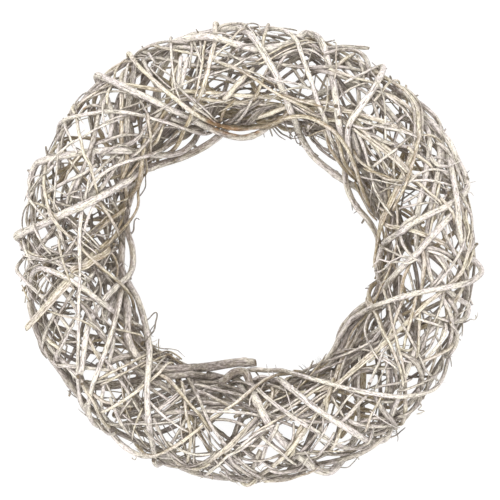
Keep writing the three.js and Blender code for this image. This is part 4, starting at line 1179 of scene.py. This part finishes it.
def plan_strand(route, radius, group, slot, is_split=False):
    routes.append(route)
    strand_radii.append(radius)
    strand_kinds.append((group, slot, is_split))
    count_in(route, radius)


def merit(route, radius):
    """How well a planned strand would sit: where few others are and nothing else shows, but not in gaps."""
    cells = sight_cells(route, radius)
    bare = ~covered[cells]
    in_gaps = (open_cells[cells] & bare).mean()
    return FILL_WORTH * bare.mean() - GAP_COST * in_gaps - crowding(crowd, route) / CROWDED


def plan_front_strands():
    for letter, (width, depth), pixels, is_cut in table_rows(FRONT_STRANDS):
        is_split = letter.isupper()
        radius = TRACED_WIDTH * width * MM_PER_PIXEL / 2
        middle_depth = depth + (SPLIT_THICKNESS * radius if is_split else radius)
        line = tucked(route_on_front(pixels, middle_depth)[::-1])[::-1]
        if not is_cut:
            line = tucked(line)
        plan_strand(resample(line, STRAND_STEP)[0], radius, "strands_", LETTERS[letter.lower()], is_split)


def plan_windings():
    """Plans windings on all sides, each the best of several random routes."""
    for number, diameters, lengths, depths, slots in FAMILIES:
        for i in range(number):
            radius = RNG.uniform(*diameters) / 2
            length = RNG.uniform(*lengths)
            deep = (depths[0] + radius, depths[1] + radius)
            choices = [wound_route(RNG, length, deep, RNG.uniform(0, TAU, 2)) for _ in range(CANDIDATES)]
            best = max(choices, key=lambda route: merit(route, radius))
            plan_strand(best, radius, "windings_", slots[i % len(slots)])


for line, radius in vines:
    count_in(line, radius.mean())
plan_front_strands()
plan_windings()
laid = relax(routes, strand_radii, vines)

strand_skins = {}
strands = []
for line, radius, (group, slot, is_split) in zip(laid, strand_radii, strand_kinds):
    skin = strand_skins.setdefault((group, slot), Skin())
    line = resample(smoothed(line), SKIN_STEP if radius > THIN_RADIUS else THIN_SKIN_STEP)[0]
    tone = RNG.uniform(*STRAND_TONES)
    base = BASES[slot] + RNG.uniform(*STRAND_WASH_SPREAD)
    radii = np.full(len(line), radius)
    if is_split:
        lay_split_strand(skin, line, radii, RNG, base, tone)
    else:
        lay_round(skin, line, radius, RNG, base, tone, STRAND_ROUGHNESS, taper=STRAND_TAPER)
    strands.append((line, radii))
for (group, slot), skin in strand_skins.items():
    skin.make(group + slot, MATERIALS[slot], slot)


# Twigs, tendrils and fibres, each rooted in a strand

# Loose shoots that the photograph shows. A row has a slot's letter, which is a capital for a split cane, the
# width in pixels at the root and at the tip, how far the tip stands off the outside in millimetres, and the
# route in pixels from the root.
SHOOTS = """
c2.2,0.9,2: 127,232 130,233.5 133,230 133.5,224 134,220 136.5,217.5 139,219.5
g1.8,1.3,1: 152,337 153.5,330 155,322 156.5,316 156,312 153,313 149,317.5 145,321
g1.3,0.8,0: 326,463 333,466 340,467 347,467 352,463 357,457 359.5,450 360,444
w2.2,1.5,8: 366,273 375,272 380,270 385,266 389,261 394,258.5 400,255.5 406,256
w2.2,1.4,9: 411,262 405,263 398,261 391,261.5 386,261 381,259.5 378,259 375,262 373,263 371,267
g1.7,1.2,0: 357,450 362,448 367,446 372,444; c1.4,0.8,0: 272,130 278,135 285,139.5
c1.9,1.2,0: 274,130 281,133 287,136 291,139; g1.9,1.4,0: 285,125 288,131 292,136
c2.6,2.3,0: 366,214 364,218 361,223; c1.2,0.7,0: 364,216 367,221 370,225
c1.1,0.8,0: 359,209 356,211 353,213; c1.4,1.0,2: 349,196 351,202 352,210
c1.6,1.1,0: 388,441 395,435 400,431 405,427; c1.2,0.9,0: 397,433 397.5,437 397,441
c1.7,1.1,0: 254,368 258,375 262,381; w0.9,0.5,2: 270,378 267,370 266,363
w0.9,0.5,2: 278,376 276,370 275,364; w1.0,0.6,3: 258,372 263,370 267,368 271,370 274,375
w1.1,0.7,1: 465,184 470,182 475,181; w1.1,0.7,1: 465,191 469,192 473,195
c1.3,0.8,1: 137,196 142,192 145,186 145.5,179 145.5,170 145,160; w1.6,1.0,1: 446,167 452,164 459,161
c1.2,0.8,1: 465,176 467,172 469,170; c1.4,0.9,1: 447,352 449,358 451,366
g1.2,0.8,1: 150,57 155,64 163,64 169,60; g2.0,1.4,0: 269,131 272,136; c1.4,0.8,0: 252,135 247,138 242,139
c1.0,0.7,0: 264,132 264,137; w1.2,0.8,1: 76,119 85,125 86,130 82,134
g1.6,1.0,0: 288,128 289.5,134 292,138 301,137; g1.2,0.8,0: 292,137 300.5,134.5
c1.2,0.8,0: 291,142.5 297,143 300.5,142.5 304.5,145 307.5,148
c1.2,0.8,1: 124,217.5 128.5,215 129.5,212 130,209; c1.1,0.7,1: 148,326.5 154.5,323.5
w1.0,0.6,1: 147,337 152,341 157,339; t2.0,1.0,2: 326,95 326,101 324,109 322,114
T7.4,6.0,10: 70,282 60,292.5 50,303.5 38,316 26.5,328
"""

# How light the shoots are, by their letters, and how much of the whitewash they have.
SHOOT_TONES = {"c": (0, 0.3), "w": (0.85, 1.0)}
OTHER_SHOOT_TONES = (0.4, 0.9)
WHITE_SHOOT_WASH = 0.9
SHOOT_WASH = 0.35

# Stout side branches cut off short, which show their cut ends: the pixel, and the width in pixels.
KNOTS = [(80, 374, 6.0), (87, 381, 3.4), (66, 113, 4.0), (331, 108, 4.6), (343, 118, 5.0), (354, 322, 4.0),
         (446, 191, 4.0), (363, 381, 3.4), (138, 397, 4.0), (156, 459, 4.6)]
KNOT_DEPTH = 2
KNOT_LENGTH = 1.1
KNOT_RISE = 1.2

# The rest, on all sides: how many of each, and their lengths and radii. A stub's radius is a share of its
# vine's, and the lengths of stubs and tufts start at the vine's skin.
STUBS = (100, (2.0, 6.0), (0.35, 0.6))
TWIGS = (28, (12, 36), (0.5, 1.0))
SPLINTERS = (60, (9, 26), (0.3, 0.55))
CURLS = (24, (8, 20), (0.3, 0.5))
TUFTS = (30, (2.5, 6.0), (0.13, 0.24))
FIBRES_PER_TUFT = (3, 10)
TUFT_SPREAD = 3
TUFT_LEAN = (0.2, 1.0)

# How loose lines bend and curl: their points and turns, and the rest as shares of their length.
BEND_POINTS = 5
WOBBLE = 0.03
CURL_POINTS = 14
CURL_TURNS = (0.7, 2.2)
CURL_TIGHTENING = 1.3
CURL_SWING = (0.12, 0.28)
CURL_PULL = 0.35

# Where the loose ends are rooted: how far out in the tube, and in how stout a vine.
OUTER_SHARE = 0.84
STOUT_SHARE = 0.8
STOUT_RADIUS = 1.5

all_lines = vines + strands
station_points = np.vstack([line for line, _ in all_lines])
station_radii = np.concatenate([radius for _, radius in all_lines])
station_runs = np.vstack([tangents(line) for line, _ in all_lines])
station_outs, station_shares = from_middle(station_points)
station_tree = tree_of(station_points)
outer_stations = np.flatnonzero(station_shares > OUTER_SHARE)
stout_stations = np.flatnonzero((station_shares > STOUT_SHARE) & (station_radii > STOUT_RADIUS))


def pick_station(stations):
    """A random station: its point, the way along its vine, the way out of the tube and the vine's radius."""
    index = RNG.choice(stations)
    return station_points[index], station_runs[index], station_outs[index], station_radii[index]


def across_of(way, rng):
    """A random unit vector square to a way."""
    return unit(np.cross(way, rng.normal(size=3)))


def way_off(run, out, rise, along, aside=0):
    """A way off a vine, from shares of the way out, of the way along to either side, and of a way across."""
    way = rise * out + along * run * RNG.choice([-1, 1])
    if aside:
        way = way + aside * across_of(run, RNG)
    return unit(way)


def held_in(line, reach):
    """The line kept from standing further than reach off the tube's outside."""
    way, share = from_middle(line)
    beyond = np.maximum(0, (share - 1) * HALF_WIDTH - reach)
    return line - way * beyond[:, None]


def lay_shoot(skin, line, radius, rng, tone, tip=0.5, base=SHOOT_WASH, roughness=0.7, reach=LOOSE_REACH):
    """A loose round end, whose tip is that share of its root."""
    line = held_in(resample(line, SHOOT_STEP)[0], reach)
    line[:, 2] = np.clip(line[:, 2], radius, CENTRE[2] + HALF_DEPTH + LOOSE_REACH)
    lay_round(skin, line, radius, rng, base, tone, roughness, taper=(1, tip))


def bent_line(start, way, length, bend, rng):
    """A line that leaves along way and bends off it."""
    side = across_of(way, rng)
    shares = np.linspace(0, 1, BEND_POINTS)[:, None]
    wobble = rng.normal(size=(BEND_POINTS, 3)) * WOBBLE * length * np.minimum(shares, 0.5)
    return start + way * length * shares + side * bend * length * shares ** 2 + wobble


def curled_line(start, way, length, rng):
    """A tendril that curls more and more towards its tip."""
    side = across_of(way, rng)
    up = np.cross(way, side)
    shares = np.linspace(0, 1, CURL_POINTS)
    turns = rng.uniform(*CURL_TURNS) * TAU * shares ** CURL_TIGHTENING
    swing = length * rng.uniform(*CURL_SWING) * shares
    ahead = length * (shares - CURL_PULL * shares ** 2)
    return (start + way * ahead[:, None] + side * (swing * np.cos(turns))[:, None]
            + up * (swing * np.sin(turns))[:, None])


shoot_skins = {}
for letter, (width, tip_width, lift), route, _ in table_rows(SHOOTS):
    radius = width * MM_PER_PIXEL / 2
    line = np.array([picture_point(x, y, -lift * i / (len(route) - 1)) for i, (x, y) in enumerate(route)])
    root = station_points[station_tree.find(line[0])[1]]
    # The shoot's height follows from where its root is, and comes to its own along the route.
    ease = np.linspace(1, 0, len(line))[:, None] ** 2
    line = np.vstack([root, line[1:] + (root - line[0]) * ease[1:] * (0, 0, 1)])
    skin = shoot_skins.setdefault(LETTERS[letter.lower()], Skin())
    tone = RNG.uniform(*SHOOT_TONES.get(letter, OTHER_SHOOT_TONES))
    base = WHITE_SHOOT_WASH if letter == "w" else SHOOT_WASH
    if letter.isupper():
        line = resample(line, SKIN_STEP)[0]
        lay_split_strand(skin, line, radius * np.linspace(1, tip_width / width, len(line)), RNG, base, tone)
    else:
        lay_shoot(skin, line, radius, RNG, tone, tip_width / width, base, reach=HALF_WIDTH)
for slot, skin in shoot_skins.items():
    skin.make("shoots_" + slot, MATERIALS[slot], slot)

stub_skin = Skin()
for x, y, width in KNOTS:
    radius = width * MM_PER_PIXEL / 2
    _, index, _ = station_tree.find(picture_point(x, y, KNOT_DEPTH))
    place, out = station_points[index], station_outs[index]
    way = unit(unit(picture_point(x, y, -1) - place) + KNOT_RISE * out)
    line = bent_line(place, way, station_radii[index] + KNOT_LENGTH * radius, 0.05, RNG)
    lay_shoot(stub_skin, line, radius, RNG, RNG.uniform(0, 0.4), tip=0.95, base=0.2, roughness=1.2)
count, lengths, shares = STUBS
for _ in range(count):
    place, run, out, vine_radius = pick_station(stout_stations)
    way = way_off(run, out, rise=0.7, along=0.8, aside=0.5)
    radius = vine_radius * RNG.uniform(*shares)
    line = bent_line(place, way, vine_radius + RNG.uniform(*lengths), 0.1, RNG)
    lay_shoot(stub_skin, line, radius, RNG, RNG.uniform(0.1, 0.8), tip=0.85, base=0.45, roughness=1.0)
stub_skin.make("cut_stubs", MATERIALS["grey_vine"], "grey_vine")

twig_skin = Skin()
count, lengths, radii = TWIGS
for _ in range(count):
    place, run, out, _ = pick_station(outer_stations)
    way = way_off(run, out, rise=0.12, along=1, aside=0.35)
    line = bent_line(place, way, RNG.uniform(*lengths), RNG.uniform(-0.2, 0.2), RNG)
    lay_shoot(twig_skin, line, RNG.uniform(*radii), RNG, RNG.uniform(0.2, 1.0), tip=0.55)
count, lengths, radii = SPLINTERS
for _ in range(count):
    place, run, out, vine_radius = pick_station(outer_stations)
    way = way_off(run, out, rise=0.12, along=1)
    line = bent_line(place + out * vine_radius * 0.8, way, RNG.uniform(*lengths), 0.08, RNG)
    lay_shoot(twig_skin, line, RNG.uniform(*radii), RNG, RNG.uniform(0.5, 1.0), tip=0.4, base=0.55)
twig_skin.make("twigs", MATERIALS["white_vine"], "white_vine")

tendril_skin = Skin()
count, lengths, radii = CURLS
for _ in range(count):
    place, run, out, _ = pick_station(outer_stations)
    way = way_off(run, out, rise=0.6, along=0.7, aside=0.5)
    line = curled_line(place, way, RNG.uniform(*lengths), RNG)
    lay_shoot(tendril_skin, line, RNG.uniform(*radii), RNG, RNG.uniform(0.2, 0.9), tip=0.5, roughness=0.4)
tendril_skin.make("tendrils", MATERIALS["tan_cane"], "tan_cane")

tuft_skin = Skin()
count, lengths, radii = TUFTS
for _ in range(count):
    place, run, out, vine_radius = pick_station(outer_stations)
    lean = RNG.choice([-1, 1]) * RNG.uniform(*TUFT_LEAN)
    for _ in range(RNG.integers(*FIBRES_PER_TUFT)):
        root = place + run * RNG.uniform(-TUFT_SPREAD, TUFT_SPREAD)
        way = unit(out + lean * run + 0.5 * RNG.normal(size=3))
        reach = vine_radius + RNG.uniform(*lengths)
        line = held_in(bent_line(root, way, reach, RNG.uniform(-0.3, 0.3), RNG), LOOSE_REACH)
        line[:, 2] = np.maximum(line[:, 2], 0.3)
        lay_round(tuft_skin, line, RNG.uniform(*radii), RNG, base=0.4, tone=RNG.uniform(0.1, 0.9),
                  roughness=0.0, sides=4, taper=(1, 0.4))
tuft_skin.make("frayed_fibres", MATERIALS["core_vine"], "core_vine")


# Floor, light and camera

# The floor's reach to each side in metres, and each lamp's place and width in metres and power in watts.
FLOOR_REACH = 40.0
LAMPS = (((-0.5, 0.7, 2.5), 1.2, 41), ((1.2, -0.8, 2.4), 2.2, 8))
FLOOR_GREY = 0.9
FLOOR_GLOW = 1.05
GLOW_SHARE = 0.9
SKY_COLOUR = (1, 0.99, 0.98, 1)
SKY_STRENGTH = 1.22
SENSOR_WIDTH = 36


def make_floor():
    mesh = bpy.data.meshes.new("floor")
    corners = [(x * FLOOR_REACH, y * FLOOR_REACH, 0) for x, y in ((-1, -1), (1, -1), (1, 1), (-1, 1))]
    mesh.from_pydata(corners, [], [(0, 1, 2, 3)])
    floor = bpy.data.objects.new("floor", mesh)
    bpy.context.scene.collection.objects.link(floor)
    material = bpy.data.materials.new("pale_floor")
    add = node_maker(material)
    diffuse = add("ShaderNodeBsdfDiffuse", {"Color": (FLOOR_GREY, FLOOR_GREY, FLOOR_GREY, 1)})
    glow = add("ShaderNodeEmission", {"Color": (1, 1, 1, 1), "Strength": FLOOR_GLOW})
    both = add("ShaderNodeMixShader", {0: GLOW_SHARE, 1: diffuse.outputs[0], 2: glow.outputs[0]})
    add("ShaderNodeOutputMaterial", {"Surface": both.outputs[0]})
    mesh.materials.append(material)


def make_lights():
    world = bpy.data.worlds.new("studio")
    bpy.context.scene.world = world
    world.use_nodes = True
    sky = world.node_tree.nodes["Background"]
    sky.inputs["Color"].default_value = SKY_COLOUR
    sky.inputs["Strength"].default_value = SKY_STRENGTH
    for place, size, power in LAMPS:
        light = bpy.data.lights.new("softbox", "AREA")
        light.shape = "DISK"
        light.size = size
        light.energy = power
        lamp = bpy.data.objects.new("softbox", light)
        lamp.location = place
        lamp.rotation_mode = "QUATERNION"
        lamp.rotation_quaternion = (-Vector(place)).to_track_quat("-Z", "Y")
        bpy.context.scene.collection.objects.link(lamp)


def make_camera():
    """A long lens straight above the point that the picture's middle shows."""
    data = bpy.data.cameras.new("camera")
    camera = bpy.data.objects.new("camera", data)
    camera.location = ((CENTRE[0] + (PICTURE_MIDDLE - PICTURE_CENTRE[0]) * MM_PER_PIXEL) * MM,
                       (CENTRE[1] + (PICTURE_CENTRE[1] - PICTURE_MIDDLE) * MM_PER_PIXEL) * MM,
                       (CENTRE[2] + CAMERA_HEIGHT) * MM)
    data.sensor_width = SENSOR_WIDTH
    data.lens = SENSOR_WIDTH * CAMERA_HEIGHT / (PICTURE_SIDE * MM_PER_PIXEL)
    data.clip_end = 100
    bpy.context.scene.collection.objects.link(camera)
    bpy.context.scene.camera = camera


make_floor()
make_lights()
make_camera()
bpy.context.scene.view_settings.view_transform = "Standard"
